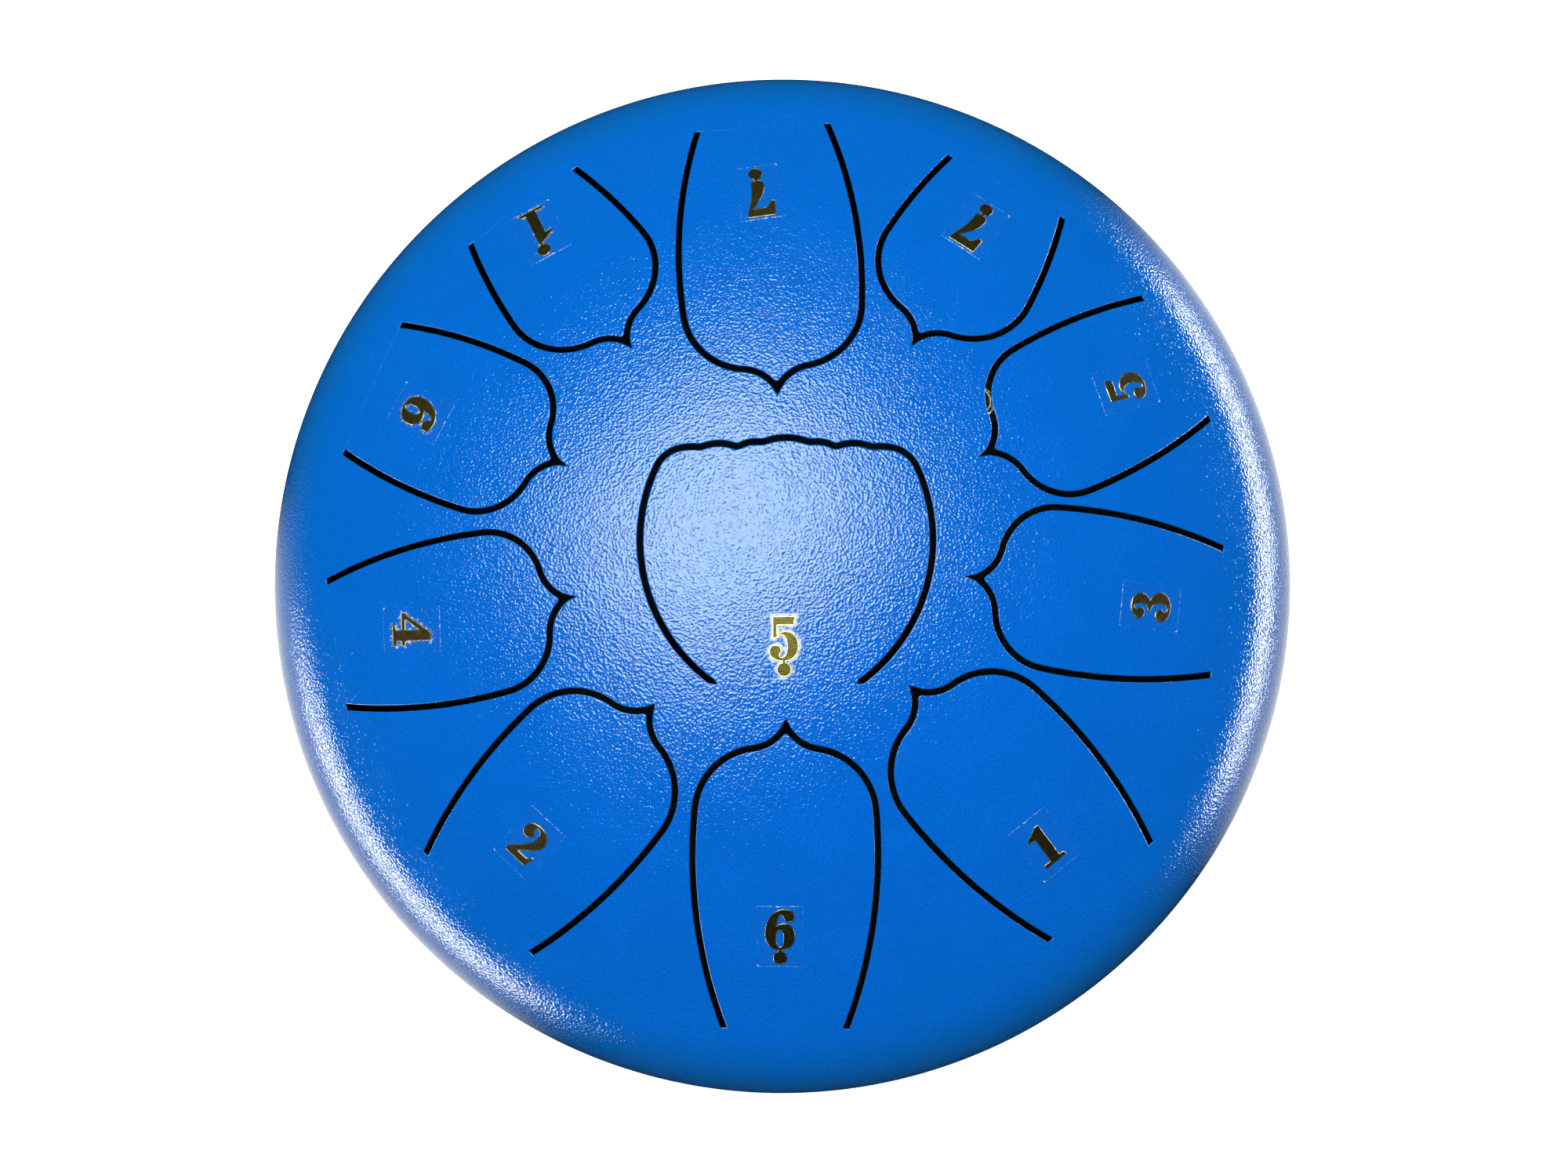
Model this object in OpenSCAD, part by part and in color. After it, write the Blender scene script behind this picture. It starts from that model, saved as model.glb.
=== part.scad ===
// Steel tongue drum: two pressed steel half shells, eleven tongues cut in the upper dome,
// a sound hole in the lower one, numeral stickers and four screwed rubber feet.
// Millimetres, +Z up, origin on the floor under the middle of the drum.

/* [Shells] */
// Outer diameter of the drum
drum_d = 254; // [252:0.5:270]
// Radius of the shallow dome that the tongues are cut in
dome_r = 239.5; // [225:0.5:270]
// Radius of the rounded shoulder between the dome and the upright band
shoulder_r = 27; // [22:0.5:32]
// Height of the upright band of each half shell
band_h = 9.5; // [5:0.5:20]
// Thickness of the steel sheet
wall = 1.5; // [1:0.1:2.5]
// Diameter of the sound hole in the lower shell
sound_hole_d = 72; // [50:1:90]
// Height of the lowest point of the lower dome above the floor
floor_gap = 7; // [5:0.5:12]

/* [Weld seam] */
// Gap between the two rims, filled by the weld
weld_gap = 0.8; // [0.4:0.1:1.5]
// Width of the ground bead on the outside
weld_w = 4; // [3:0.5:8]
// Height of the ground bead above the band
weld_proud = 0.25; // [0.1:0.05:0.6]

/* [Slots] */
// Width of the cut slots
slot_w = 1.45; // [1:0.05:1.8]
// Gap that lets a tongue flex at its root line
flex_gap = 0.05; // [0.04:0.01:0.1]
// Distance from the edge of the dome to the ends of the slots
root_margin = 3.7; // [3:0.1:5]
// Radius of the long bowed sides of the outer tongues
side_r = 120; // [100:1:150]
// Radius of the hollow curves that end in the pointed tip
ogee_r = 10; // [9:0.5:11]
// Half angle of the pointed tip in degrees
tip_angle = 27; // [25:1:30]
// Rounding of the pointed tip of the tongue
tip_round = 0.8; // [0.4:0.1:1]

/* [Tongue widths] */
// Greatest width of the four wide tongues
wide_w = 43.5; // [42:0.5:45]
// Distance from the widest place to the tip of a wide tongue
wide_head = 31; // [29:0.5:33]
// Radius of the shoulders of a wide tongue
wide_shoulder_r = 15.7; // [15:0.1:16.5]
// Greatest width of the four narrow tongues
narrow_w = 39; // [38:0.5:40]
// Distance from the widest place to the tip of a narrow tongue
narrow_head = 27.6; // [26:0.1:29]
// Radius of the shoulders of a narrow tongue
narrow_shoulder_r = 13.4; // [13:0.1:14]
// Greatest width of the two short tongues
short_w = 38.6; // [37.6:0.2:39.6]
// Distance from the widest place to the tip of a short tongue
short_head = 17; // [16:0.5:18]
// Radius of the shoulders of a short tongue
short_shoulder_r = 15.5; // [15:0.1:16]
// Reach of the slot's point past the tip of a wide tongue
wide_point = 1.4; // [1:0.1:2]
// Reach of the slot's point past the tip of a narrow tongue
narrow_point = 2.6; // [1:0.1:3]
// Reach of the slot's point past the tip of a short tongue
short_point = 1.9; // [1:0.1:2.5]

/* [Tongue lengths] */
// Length of tongue 1 from its root line to its tip
length_1 = 65.5; // [62:0.5:67]
// Length of tongue 2
length_2 = 62.9; // [60:0.1:65]
// Length of tongue 3
length_3 = 59.1; // [56:0.1:61]
// Length of tongue 4
length_4 = 58.6; // [56:0.1:61]
// Length of tongue 5
length_5 = 53.3; // [50:0.1:56]
// Length of tongue 6
length_6 = 51.8; // [49:0.1:54]
// Length of the high tongue 1
length_1_high = 45.7; // [43:0.1:48]
// Length of the low tongue 6
length_6_low = 71.7; // [69:0.1:74]
// Length of the long tongue 7
length_7_long = 68; // [65:0.1:70]
// Length of the short tongue 7
length_7_short = 46.5; // [44:0.1:49]

/* [Centre tongue] */
// Length of the centre tongue from its root line to its top lobe
centre_l = 57.6; // [55:0.1:59]
// Greatest width of the centre tongue
centre_w = 68.4; // [66:0.2:70]
// Radius of its round sides
centre_side_r = 41.3; // [40:0.1:43]
// Distance from its root line to its widest place
centre_widest = 33.8; // [32:0.1:35]
// Radius of its two top corners
centre_corner_r = 7.8; // [7:0.1:9]
// Depth of the scallops along its top edge
scallop_depth = 2.2; // [1.8:0.1:2.4]
// Distance of its root line from the middle of the drum
centre_root_y = 27.8; // [27:0.1:29]
// Sideways distance of its axis from the middle of the drum
centre_shift_x = 2.4; // [1.5:0.1:3.5]

/* [Note stickers] */
// Width of the clear film
film_w = 10.8; // [9:0.1:12]
// Length of the clear film
film_l = 15.5; // [14.5:0.1:17]
// Thickness of the clear film
film_t = 0.1; // [0.06:0.02:0.2]
// Height of a foil numeral
numeral_h = 10.5; // [8:0.1:10.6]
// Thickness of the foil
foil_t = 0.2; // [0.1:0.05:0.4]
// Diameter of an octave dot
dot_d = 3.4; // [2.6:0.1:3.5]
// Gap between a dot and its numeral
dot_gap = 0.2; // [0.1:0.05:0.4]
// Width of the neck that joins a dot to its numeral
dot_neck_w = 0.9; // [0.5:0.1:1.5]

/* [Feet] */
// Distance of each foot from the middle of the drum
foot_r = 74; // [65:1:84]
// Diameter of a foot at the floor
foot_base_d = 21; // [20:0.5:24]
// Diameter of a foot at the shell
foot_top_d = 25; // [24:0.5:30]
// Rounding of the foot's lower edge
foot_edge_r = 2; // [1:0.5:3]
// Depth of the hollow for the screw head
foot_hollow = 8; // [6:0.5:10]
// Clearance round the screw head in its hollow
head_clear = 0.8; // [0.4:0.1:1]

/* [Foot screws] */
// Diameter of the screw
screw_d = 4; // [3:0.5:5]
// Length of the screw under its head
screw_l = 22; // [21:0.5:25]
// Diameter of the round head
head_d = 8; // [7.5:0.1:9]
// Height of the round head
head_h = 3.1; // [2.6:0.1:3.5]
// Width across the flats of the nut
nut_w = 7; // [7:0.1:8]
// Height of the nut
nut_h = 3.2; // [2.6:0.1:4]
// Outer diameter of the washers
washer_d = 9; // [8.8:0.1:9.4]
// Thickness of the washers
washer_t = 0.8; // [0.5:0.1:1.2]
// Outer diameter of the rubber seat inside the shell
seat_d = 14; // [12:0.5:18]
// Least thickness of the rubber seat
seat_t = 1; // [0.6:0.1:2]
// Clearance of a washer, foot, seat or shell hole round the screw
screw_clear = 0.2; // [0.1:0.05:0.4]
// Clearance of the nut round the screw
thread_clear = 0.05; // [0.02:0.01:0.1]

/* [Hidden] */

paint = "#0b5fd0";
paint_under = "#0a50b4";
foil = "#7a6a2c";
film_tint = "#9fc8ff80";
rubber = "#202124";
steel = "#b9bcc0";

// The dome and the shoulder are circles that touch where the line of their centres meets them.
shoulder_x = drum_d / 2 - shoulder_r;
centre_drop = sqrt(pow(dome_r - shoulder_r, 2) - pow(shoulder_x, 2));
knee_r = dome_r * shoulder_x / (dome_r - shoulder_r);
dome_z = band_h - centre_drop;
half_h = dome_z + dome_r;
equator_z = floor_gap + half_h;
cut_share = 1.25;
overrun = 10;
knee_key_w = 0.4;
knee_key_cover = 0.1;
dome_fn = 240;
round_fn = 72;

// Places of the tongues, in the order 1 to 6, high 1, low 6, long 7, short 7.
root_r = knee_r - root_margin;
root_angles = [-44.8, -132.2, -5.2, -170.9, 28.4, 155.4, 124.8, -89.2, 92.1, 59.5];
axis_angles = [-46.4, -132.9, -6.5, -170.5, 28.4, 156.6, 126.6, -90.6, 93.6, 60.7];
root_shares = [0.997, 0.984, 0.971, 0.994, 1.007, 1, 1.008, 1.001, 1.004, 1.006];
lengths = [
  length_1, length_2, length_3, length_4, length_5, length_6,
  length_1_high, length_6_low, length_7_long, length_7_short
];
WIDE = [wide_w / 2, wide_head, wide_shoulder_r, wide_point];
NARROW = [narrow_w / 2, narrow_head, narrow_shoulder_r, narrow_point];
SHORT = [short_w / 2, short_head, short_shoulder_r, short_point];
kinds = [WIDE, WIDE, NARROW, NARROW, NARROW, NARROW, SHORT, WIDE, WIDE, SHORT];
CENTRE = 10;

// Places of the stickers on the dome, in the same order with the centre tongue last. The centre
// sticker follows its tongue's root line, and the others the circle of the outer root lines.
mark_shares = [0.833, 0.804, 0.817, 0.812, 0.865, 0.866, 0.927, 0.797, 0.84, 0.883, 0.694];
function mark_r(i) = mark_shares[i] * (i == CENTRE ? centre_root_y : root_r);
mark_bearings = [-46, -132.2, -5.7, -170.8, 27.7, 156.1, 124.9, -89.6, 92.8, 60.2, -84.4];
mark_turns = [-6, -1, 0, -8, -10, -4, -7.5, -1, 6, -4, -5];
mark_digits = [1, 2, 3, 4, 5, 6, 1, 6, 7, 7, 5];
DOT_NONE = 0;
DOT_BELOW = -1;
DOT_ABOVE = 1;
mark_dots = [
  DOT_NONE, DOT_NONE, DOT_NONE, DOT_NONE, DOT_NONE, DOT_NONE,
  DOT_ABOVE, DOT_BELOW, DOT_BELOW, DOT_BELOW, DOT_BELOW
];

// Knots of the scalloped top edge as shares of half the width and of the scallop depth,
// with the rise of each lobe as a share of the depth.
scallop_x_shares = [0.684, 0.59, 0.336, 0.161];
scallop_drop_shares = [0.95, 1, 1, 0.5];
lobe_rise_shares = [0.07, 0.42, 0.27];
top_rise_share = 0.5;

side_steps = 8;
head_steps = 9;
ogee_steps = 5;
corner_steps = 8;
lobe_steps = 5;
tip_steps = 2;
curve_steps = 6;

function arc(c, r, from, to, steps) = [
  for (i = [0 : steps])
    let (a = from + (to - from) * i / steps)
      c + r * [cos(a), sin(a)]
];
function tail(path) = [for (i = [1 : len(path) - 1]) path[i]];
function unit(v) = v / norm(v);
function left(v) = [-v[1], v[0]];
function bearing(v) = atan2(v[1], v[0]);

// The point at the distances r0 and r1 from c0 and c1, on the left of the way from c0 to c1.
function meet(c0, r0, c1, r1) =
  let (d = norm(c1 - c0), a = (r0 * r0 - r1 * r1 + d * d) / (2 * d))
    c0 + a * unit(c1 - c0) + sqrt(r0 * r0 - a * a) * left(unit(c1 - c0));

// A path moved sideways by d, to its left, with mitred corners.
function parallel(path, d) = [
  for (i = [0 : len(path) - 1])
    let (
      before = unit(path[max(i, 1)] - path[max(i, 1) - 1]),
      last = len(path) - 2,
      after = unit(path[min(i, last) + 1] - path[min(i, last)]),
      m = unit(left(before) + left(after))
    )
      path[i] + m * d / (m * left(before))
];

// A half outline and its mirror image, from one root end round the tip to the other.
function both_halves(half, middle) =
  concat(half, middle, [for (i = [len(half) - 1 : -1 : 0]) [half[i][0], -half[i][1]]]);

// Half the outline of an outer tongue, moved out by d from the middle line of its slot: a bowed
// side, a round shoulder and a hollow curve that touch each other. The root line is at x = 0,
// the middle line's tip at x = l, and the outline runs from x = root until the bearing tip_a.
function outer_half(l, kind, d, root, tip_a) =
  let (
    widest = l - kind[1],
    side_c = [widest, kind[0] - side_r],
    head_c = meet(side_c, side_r - kind[2], ogee_centre(l), ogee_r + kind[2]),
    root_a = bearing([root - widest, sqrt(pow(side_r + d, 2) - pow(root - widest, 2))]),
    head_a = bearing(head_c - side_c),
    ogee_a = bearing(ogee_centre(l) - head_c)
  )
    concat(
      arc(side_c, side_r + d, root_a, head_a, side_steps),
      tail(arc(head_c, kind[2] + d, head_a, ogee_a, head_steps)),
      tail(arc(ogee_centre(l), ogee_r - d, ogee_a + 180, tip_a, ogee_steps))
    );
function ogee_centre(l) = [l + ogee_r * sin(tip_angle), ogee_r * cos(tip_angle)];

// An arc from p to q that bulges to the left by rise.
function lobe(p, q, rise, steps) =
  let (
    half = norm(q - p) / 2,
    r = (half * half + rise * rise) / (2 * rise),
    c = (p + q) / 2 - (r - rise) * left(unit(q - p)),
    a = bearing(p - c)
  )
    arc(c, r, a, a - 2 * asin(half / r), steps);

// Middle line of the centre tongue's slot.
function centre_path() =
  let (
    w = centre_w / 2,
    line = centre_l - scallop_drop_shares[0] * scallop_depth,
    side_c = [centre_widest, w - centre_side_r],
    corner_x = line - centre_corner_r,
    reach = centre_side_r - centre_corner_r,
    corner_c = [corner_x, side_c[1] + sqrt(reach * reach - pow(corner_x - centre_widest, 2))],
    root_a = bearing([-centre_widest, sqrt(pow(centre_side_r, 2) - pow(centre_widest, 2))]),
    corner_a = bearing(corner_c - side_c),
    knots = [
      for (i = [0 : len(scallop_x_shares) - 1])
        [centre_l - scallop_drop_shares[i] * scallop_depth, scallop_x_shares[i] * w]
    ],
    lobes = [
      for (i = [0 : len(lobe_rise_shares) - 1])
        each tail(lobe(knots[i], knots[i + 1], lobe_rise_shares[i] * scallop_depth, lobe_steps))
    ],
    last = knots[len(knots) - 1],
    top = lobe(last, [last[0], -last[1]], top_rise_share * scallop_depth, 2 * lobe_steps)
  )
    both_halves(
      concat(
        arc(side_c, centre_side_r, root_a, corner_a, side_steps),
        tail(arc(corner_c, centre_corner_r, corner_a, 0, corner_steps)),
        lobes
      ),
      [for (i = [1 : 2 * lobe_steps - 1]) top[i]]
    );

// The hole in the shell round a tongue: the slot's outer edge, its ends and the root line.
function notch_outline(i) = i == CENTRE ? centre_notch() : outer_notch(lengths[i], kinds[i]);

// The tongue: the slot's inner edge, with its root line a flex gap clear of the shell.
function tongue_outline(i) = i == CENTRE ? centre_tongue() : outer_tongue(lengths[i], kinds[i]);

function outer_notch(l, kind) =
  let (root = outer_half(l, kind, -slot_w / 2, 0, 270)[0])
    concat(
      both_halves(outer_half(l, kind, slot_w / 2, 0, 270 - tip_angle), [[l + kind[3], 0]]),
      [[root[0], -root[1]], root]
    );

// The hollow curves of the tongue itself end on a small round tip.
function outer_tongue(l, kind) =
  let (
    c = ogee_centre(l),
    tip_x = c[0] - sqrt(pow(ogee_r + slot_w / 2 + tip_round, 2) - pow(c[1], 2)),
    tip_a = bearing([tip_x, 0] - c) + 360,
    tip = arc([tip_x, 0], tip_round, tip_a - 180, 180 - tip_a, 2 * tip_steps)
  )
    both_halves(
      outer_half(l, kind, -slot_w / 2, flex_gap, tip_a),
      [for (i = [1 : 2 * tip_steps - 1]) tip[i]]
    );

function centre_notch() =
  let (inner = parallel(centre_path(), -slot_w / 2))
    concat(parallel(centre_path(), slot_w / 2), [inner[len(inner) - 1], inner[0]]);

function centre_tongue() =
  let (inner = parallel(centre_path(), -slot_w / 2), root = inner[0][0] + flex_gap)
    [for (p = inner) [max(p[0], root), p[1]]];

module at_tongue(i) {
  if (i == CENTRE) {
    translate([centre_shift_x, -centre_root_y, 0])
      rotate(90)
        children();
  } else {
    translate(root_r * root_shares[i] * [cos(root_angles[i]), sin(root_angles[i]), 0])
      rotate(axis_angles[i] + 180)
        children();
  }
}

// A ball about the centre of the upper dome, with its poles away from the dome.
module dome_ball(r) {
  translate([0, 0, dome_z])
    rotate([90, 0, 0])
      sphere(r = r, $fn = dome_fn);
}

// Section of one half shell, cut along the line through both circles' centres.
module half_profile() {
  cut = cut_share * [shoulder_x, centre_drop];
  intersection() {
    translate([0, -centre_drop])
      difference() {
        circle(r = dome_r, $fn = dome_fn);
        circle(r = dome_r - wall, $fn = dome_fn);
      }
    polygon([
      [0, -centre_drop], [cut[0], cut[1] - centre_drop], [0, dome_r - centre_drop + overrun]
    ]);
  }
  intersection() {
    translate([shoulder_x, 0])
      difference() {
        circle(r = shoulder_r, $fn = round_fn);
        circle(r = shoulder_r - wall, $fn = round_fn);
      }
    polygon([
      [shoulder_x, 0], [drum_d / 2 + overrun, 0],
      [drum_d / 2 + overrun, cut[1] - centre_drop], [cut[0], cut[1] - centre_drop]
    ]);
  }
  translate([drum_d / 2 - wall, weld_gap / 2 - band_h])
    square([wall, band_h - weld_gap / 2]);
  knee_key();
}

// Lies within the sheet, across the line where dome and shoulder meet, and makes them one piece.
module knee_key() {
  translate([0, -centre_drop])
    rotate(-asin(knee_r / dome_r))
      translate([-knee_key_w / 2, dome_r - wall + knee_key_cover])
        square([knee_key_w, wall - 2 * knee_key_cover]);
}

// One half shell with the weld's middle plane at z = 0.
module half_shell() {
  translate([0, 0, band_h])
    rotate_extrude($fn = dome_fn)
      half_profile();
}

module upper_shell() {
  color(paint)
    translate([0, 0, equator_z])
      difference() {
        half_shell();
        for (i = [0 : CENTRE])
          at_tongue(i)
            translate([0, 0, band_h])
              linear_extrude(half_h)
                polygon(notch_outline(i));
      }
}

module tongue(i) {
  color(paint)
    translate([0, 0, equator_z])
      difference() {
        intersection() {
          dome_ball(dome_r);
          at_tongue(i)
            translate([0, 0, band_h])
              linear_extrude(half_h)
                polygon(tongue_outline(i));
        }
        dome_ball(dome_r - wall);
      }
}

module lower_shell() {
  color(paint_under)
    translate([0, 0, equator_z])
      mirror([0, 0, 1])
        difference() {
          half_shell();
          translate([0, 0, band_h])
            cylinder(h = half_h, d = sound_hole_d, $fn = round_fn);
          at_feet()
            translate([0, 0, band_h])
              cylinder(h = half_h, d = screw_d + 2 * screw_clear, $fn = round_fn);
        }
}

// Ring of weld metal between the rims, ground to a low bead outside.
module weld_seam() {
  r = drum_d / 2;
  color(paint)
    translate([0, 0, equator_z])
      rotate_extrude($fn = dome_fn)
        polygon([
          [r - wall, -weld_gap / 2], [r, -weld_gap / 2], [r, -weld_w / 2],
          [r + weld_proud, -weld_w / 4], [r + weld_proud, weld_w / 4],
          [r, weld_w / 2], [r, weld_gap / 2], [r - wall, weld_gap / 2]
        ]);
}

// Sets a shape square on the dome at sticker place i, with its top towards the middle.
module on_dome(i) {
  translate([0, 0, dome_z])
    rotate([0, asin(mark_r(i) / dome_r), mark_bearings[i]])
      rotate(90 + mark_turns[i])
        children();
}

// Keeps the part of a sticker's outline that lies from low to high above the dome.
module dome_layer(i, low, high) {
  translate([0, 0, equator_z])
    difference() {
      intersection() {
        dome_ball(dome_r + high);
        on_dome(i)
          linear_extrude(dome_r + high + overrun)
            children();
      }
      dome_ball(dome_r + low);
    }
}

module film(i) {
  color(film_tint)
    dome_layer(i, 0, film_t)
      translate([-film_w / 2, -film_l / 2])
        square([film_w, film_l]);
}

// Numeral outlines as shares of the numeral's height, drawn anticlockwise. A row of two shares
// is a corner, and a row of six is a curve: two handles and its end.
one_shares = [
  [0, 0], [0.56, 0], [0.56, 0.1], [0.43, 0.1], [0.43, 1], [0.33, 1], [0.02, 0.82],
  [0.02, 0.72], [0.17, 0.74], [0.17, 0.1], [0, 0.1]
];
two_shares = [
  [0.02, 0], [0.6, 0], [0.68, 0.3], [0.61, 0.3], [0.58, 0.22, 0.54, 0.19, 0.46, 0.19],
  [0.27, 0.19], [0.36, 0.3, 0.67, 0.44, 0.67, 0.72], [0.67, 0.9, 0.52, 1, 0.33, 1],
  [0.14, 1, 0.03, 0.89, 0.03, 0.75], [0.03, 0.65, 0.09, 0.58, 0.18, 0.58],
  [0.27, 0.58, 0.33, 0.64, 0.33, 0.72], [0.33, 0.79, 0.27, 0.8, 0.26, 0.86],
  [0.27, 0.95, 0.42, 0.94, 0.42, 0.75], [0.42, 0.52, 0.2, 0.35, 0.02, 0.14]
];
three_shares = [
  [0.33, 1], [0.16, 1, 0.03, 0.92, 0.03, 0.79], [0.03, 0.7, 0.09, 0.65, 0.17, 0.65],
  [0.24, 0.65, 0.29, 0.7, 0.29, 0.77], [0.29, 0.83, 0.24, 0.85, 0.24, 0.89],
  [0.26, 0.95, 0.37, 0.93, 0.37, 0.78], [0.37, 0.64, 0.33, 0.58, 0.22, 0.57], [0.22, 0.5],
  [0.35, 0.49, 0.41, 0.42, 0.41, 0.27], [0.41, 0.07, 0.26, 0.06, 0.24, 0.13],
  [0.24, 0.17, 0.29, 0.19, 0.29, 0.25], [0.29, 0.32, 0.23, 0.38, 0.14, 0.38],
  [0.06, 0.38, 0, 0.32, 0, 0.23], [0, 0.1, 0.12, 0, 0.32, 0], [0.52, 0, 0.67, 0.1, 0.67, 0.28],
  [0.67, 0.42, 0.59, 0.5, 0.46, 0.54], [0.55, 0.58, 0.61, 0.65, 0.61, 0.77],
  [0.61, 0.9, 0.52, 1, 0.33, 1]
];
four_shares = [
  [0.25, 0], [0.74, 0], [0.74, 0.09], [0.63, 0.12], [0.63, 0.24], [0.74, 0.24], [0.74, 0.35],
  [0.63, 0.35], [0.63, 1], [0.44, 1], [0, 0.35], [0, 0.24], [0.38, 0.24], [0.38, 0.12],
  [0.25, 0.09]
];
four_hole_shares = [[0.14, 0.35], [0.38, 0.35], [0.38, 0.7]];
five_shares = [
  [0.08, 0.51], [0.16, 0.51], [0.18, 0.55, 0.22, 0.58, 0.27, 0.58],
  [0.33, 0.58, 0.4, 0.52, 0.4, 0.33], [0.4, 0.07, 0.25, 0.06, 0.23, 0.13],
  [0.23, 0.17, 0.28, 0.19, 0.28, 0.24], [0.28, 0.31, 0.22, 0.37, 0.14, 0.37],
  [0.06, 0.37, 0, 0.31, 0, 0.22], [0, 0.1, 0.12, 0, 0.31, 0], [0.52, 0, 0.66, 0.13, 0.66, 0.34],
  [0.66, 0.52, 0.55, 0.67, 0.37, 0.67], [0.3, 0.67, 0.24, 0.65, 0.19, 0.6], [0.19, 0.8],
  [0.56, 0.8], [0.6, 1], [0.08, 1]
];
six_shares = [
  [0.35, 0], [0.55, 0, 0.685, 0.14, 0.685, 0.34], [0.685, 0.53, 0.58, 0.66, 0.44, 0.66],
  [0.37, 0.66, 0.305, 0.63, 0.27, 0.59], [0.275, 0.7, 0.31, 0.86, 0.37, 0.86],
  [0.44, 0.86, 0.4, 0.69, 0.545, 0.69], [0.62, 0.69, 0.672, 0.75, 0.672, 0.83],
  [0.672, 0.93, 0.57, 1, 0.43, 1], [0.16, 1, 0, 0.7, 0, 0.42], [0, 0.16, 0.15, 0, 0.35, 0]
];
six_hole_shares = [
  [0.34, 0.09], [0.41, 0.09, 0.425, 0.18, 0.425, 0.29], [0.425, 0.4, 0.41, 0.49, 0.345, 0.49],
  [0.27, 0.49, 0.255, 0.4, 0.255, 0.29], [0.255, 0.18, 0.27, 0.09, 0.34, 0.09]
];
seven_shares = [
  [0, 0.6], [0.11, 0.585], [0.14, 0.7, 0.2, 0.77, 0.3, 0.77], [0.52, 0.77],
  [0.36, 0.58, 0.2, 0.36, 0.2, 0.14], [0.2, 0.06, 0.24, 0, 0.36, 0],
  [0.44, 0, 0.5, 0.02, 0.5, 0.09], [0.5, 0.5, 0.6, 0.66, 0.68, 0.92], [0.68, 1], [0.03, 1]
];
// By digit, from 0: the outline, its hole, the numeral's width and where a dot's neck leaves it.
outline_shares = [
  [], one_shares, two_shares, three_shares, four_shares, five_shares, six_shares, seven_shares
];
hole_shares = [[], [], [], [], four_hole_shares, [], six_hole_shares, []];
width_shares = [0, 0.56, 0.7, 0.67, 0.74, 0.66, 0.685, 0.68];
neck_shares = [0, 0.38, 0, 0, 0, 0.33, 0.35, 0.36];

// The points of a numeral's outline, with each curve drawn by its two handles.
function drawn(rows) = [
  for (i = [0 : len(rows) - 1])
    let (
      row = rows[i],
      before = rows[(i + len(rows) - 1) % len(rows)],
      p = [before[len(before) - 2], before[len(before) - 1]]
    )
      each len(row) == 2 ? [row] : [
        for (j = [1 : curve_steps])
          let (t = j / curve_steps, s = 1 - t)
            s * s * s * p + 3 * s * s * t * [row[0], row[1]]
              + 3 * s * t * t * [row[2], row[3]] + t * t * t * [row[4], row[5]]
      ]
];
// A closed outline whose last curve ends on its first point keeps that point once.
function closed(points) =
  let (last = len(points) - 1)
    norm(points[last] - points[0]) > 0 ? points : [for (i = [1 : last]) points[i]];

module numeral_outline(digit) {
  difference() {
    polygon(numeral_h * closed(drawn(outline_shares[digit])));
    if (len(hole_shares[digit]) > 0)
      polygon(numeral_h * closed(drawn(hole_shares[digit])));
  }
}

// A numeral with its dot below, above or left out, both centred together on the film.
module numeral(i) {
  digit = mark_digits[i];
  dot = mark_dots[i];
  width = width_shares[digit] * numeral_h;
  neck = [dot_neck_w, dot_neck_w + dot_gap];
  color(foil)
    dome_layer(i, film_t, film_t + foil_t)
      translate([0, -dot * (dot_d + dot_gap) / 2]) {
        translate([-width / 2, -numeral_h / 2])
          numeral_outline(digit);
        if (dot != DOT_NONE)
          translate([neck_shares[digit] * numeral_h - width / 2, dot * (numeral_h + dot_gap) / 2]) {
            translate([0, dot * (dot_d + dot_gap) / 2])
              circle(d = dot_d, $fn = round_fn);
            translate(-neck / 2)
              square(neck);
          }
      }
}

foot_angles = [-45, 45, 135, -135];
FRONT_RIGHT = 0;
BACK_RIGHT = 1;
BACK_LEFT = 2;
FRONT_LEFT = 3;

// Heights along a foot's screw, from the floor up: the screw head's seat, the flat top of the
// rubber seat over the highest rim of its sloping base, and the nut's underside.
foot_blank_h = 2 * foot_top_d;
head_seat_z = foot_hollow - washer_t;
inner_r = dome_r - wall;
seat_rim = foot_r + seat_d / 2;
seat_top_z = floor_gap + dome_r - sqrt(pow(inner_r, 2) - pow(seat_rim, 2)) + seat_t;
nut_z = seat_top_z + washer_t;

// The round head is a ball's cap over a short rim, with a cross recess.
head_rim_share = 0.35;
recess_length_share = 0.55;
recess_width_share = 0.14;
recess_depth_share = 0.55;

module at_foot(i) {
  translate(foot_r * [cos(foot_angles[i]), sin(foot_angles[i]), 0])
    children();
}

module at_feet() {
  for (i = [FRONT_RIGHT : FRONT_LEFT])
    at_foot(i)
      children();
}

// A ball about the centre of the lower dome, with its poles away from the dome.
module lower_ball(r) {
  translate([0, 0, floor_gap + dome_r])
    rotate([90, 0, 0])
      sphere(r = r, $fn = dome_fn);
}

module screw_bore(clear) {
  translate([0, 0, -overrun])
    cylinder(h = foot_blank_h + 2 * overrun, d = screw_d + 2 * clear, $fn = round_fn);
}

// A rubber foot, round at the floor and cut at the top to the bulge of the lower dome.
module foot(i) {
  base_r = foot_base_d / 2;
  top_r = foot_top_d / 2;
  color(rubber)
    difference() {
      at_foot(i)
        difference() {
          rotate_extrude($fn = round_fn) {
            polygon([
              [0, 0], [base_r - foot_edge_r, 0], [base_r, foot_edge_r],
              [top_r, foot_hollow], [top_r, foot_blank_h], [0, foot_blank_h]
            ]);
            intersection() {
              translate([base_r - foot_edge_r, foot_edge_r])
                circle(r = foot_edge_r, $fn = round_fn);
              square([foot_base_d, foot_edge_r]);
            }
          }
          translate([0, 0, -overrun])
            cylinder(h = foot_hollow + overrun, d = washer_d + head_clear, $fn = round_fn);
          screw_bore(screw_clear);
        }
      lower_ball(dome_r);
    }
}

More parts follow.
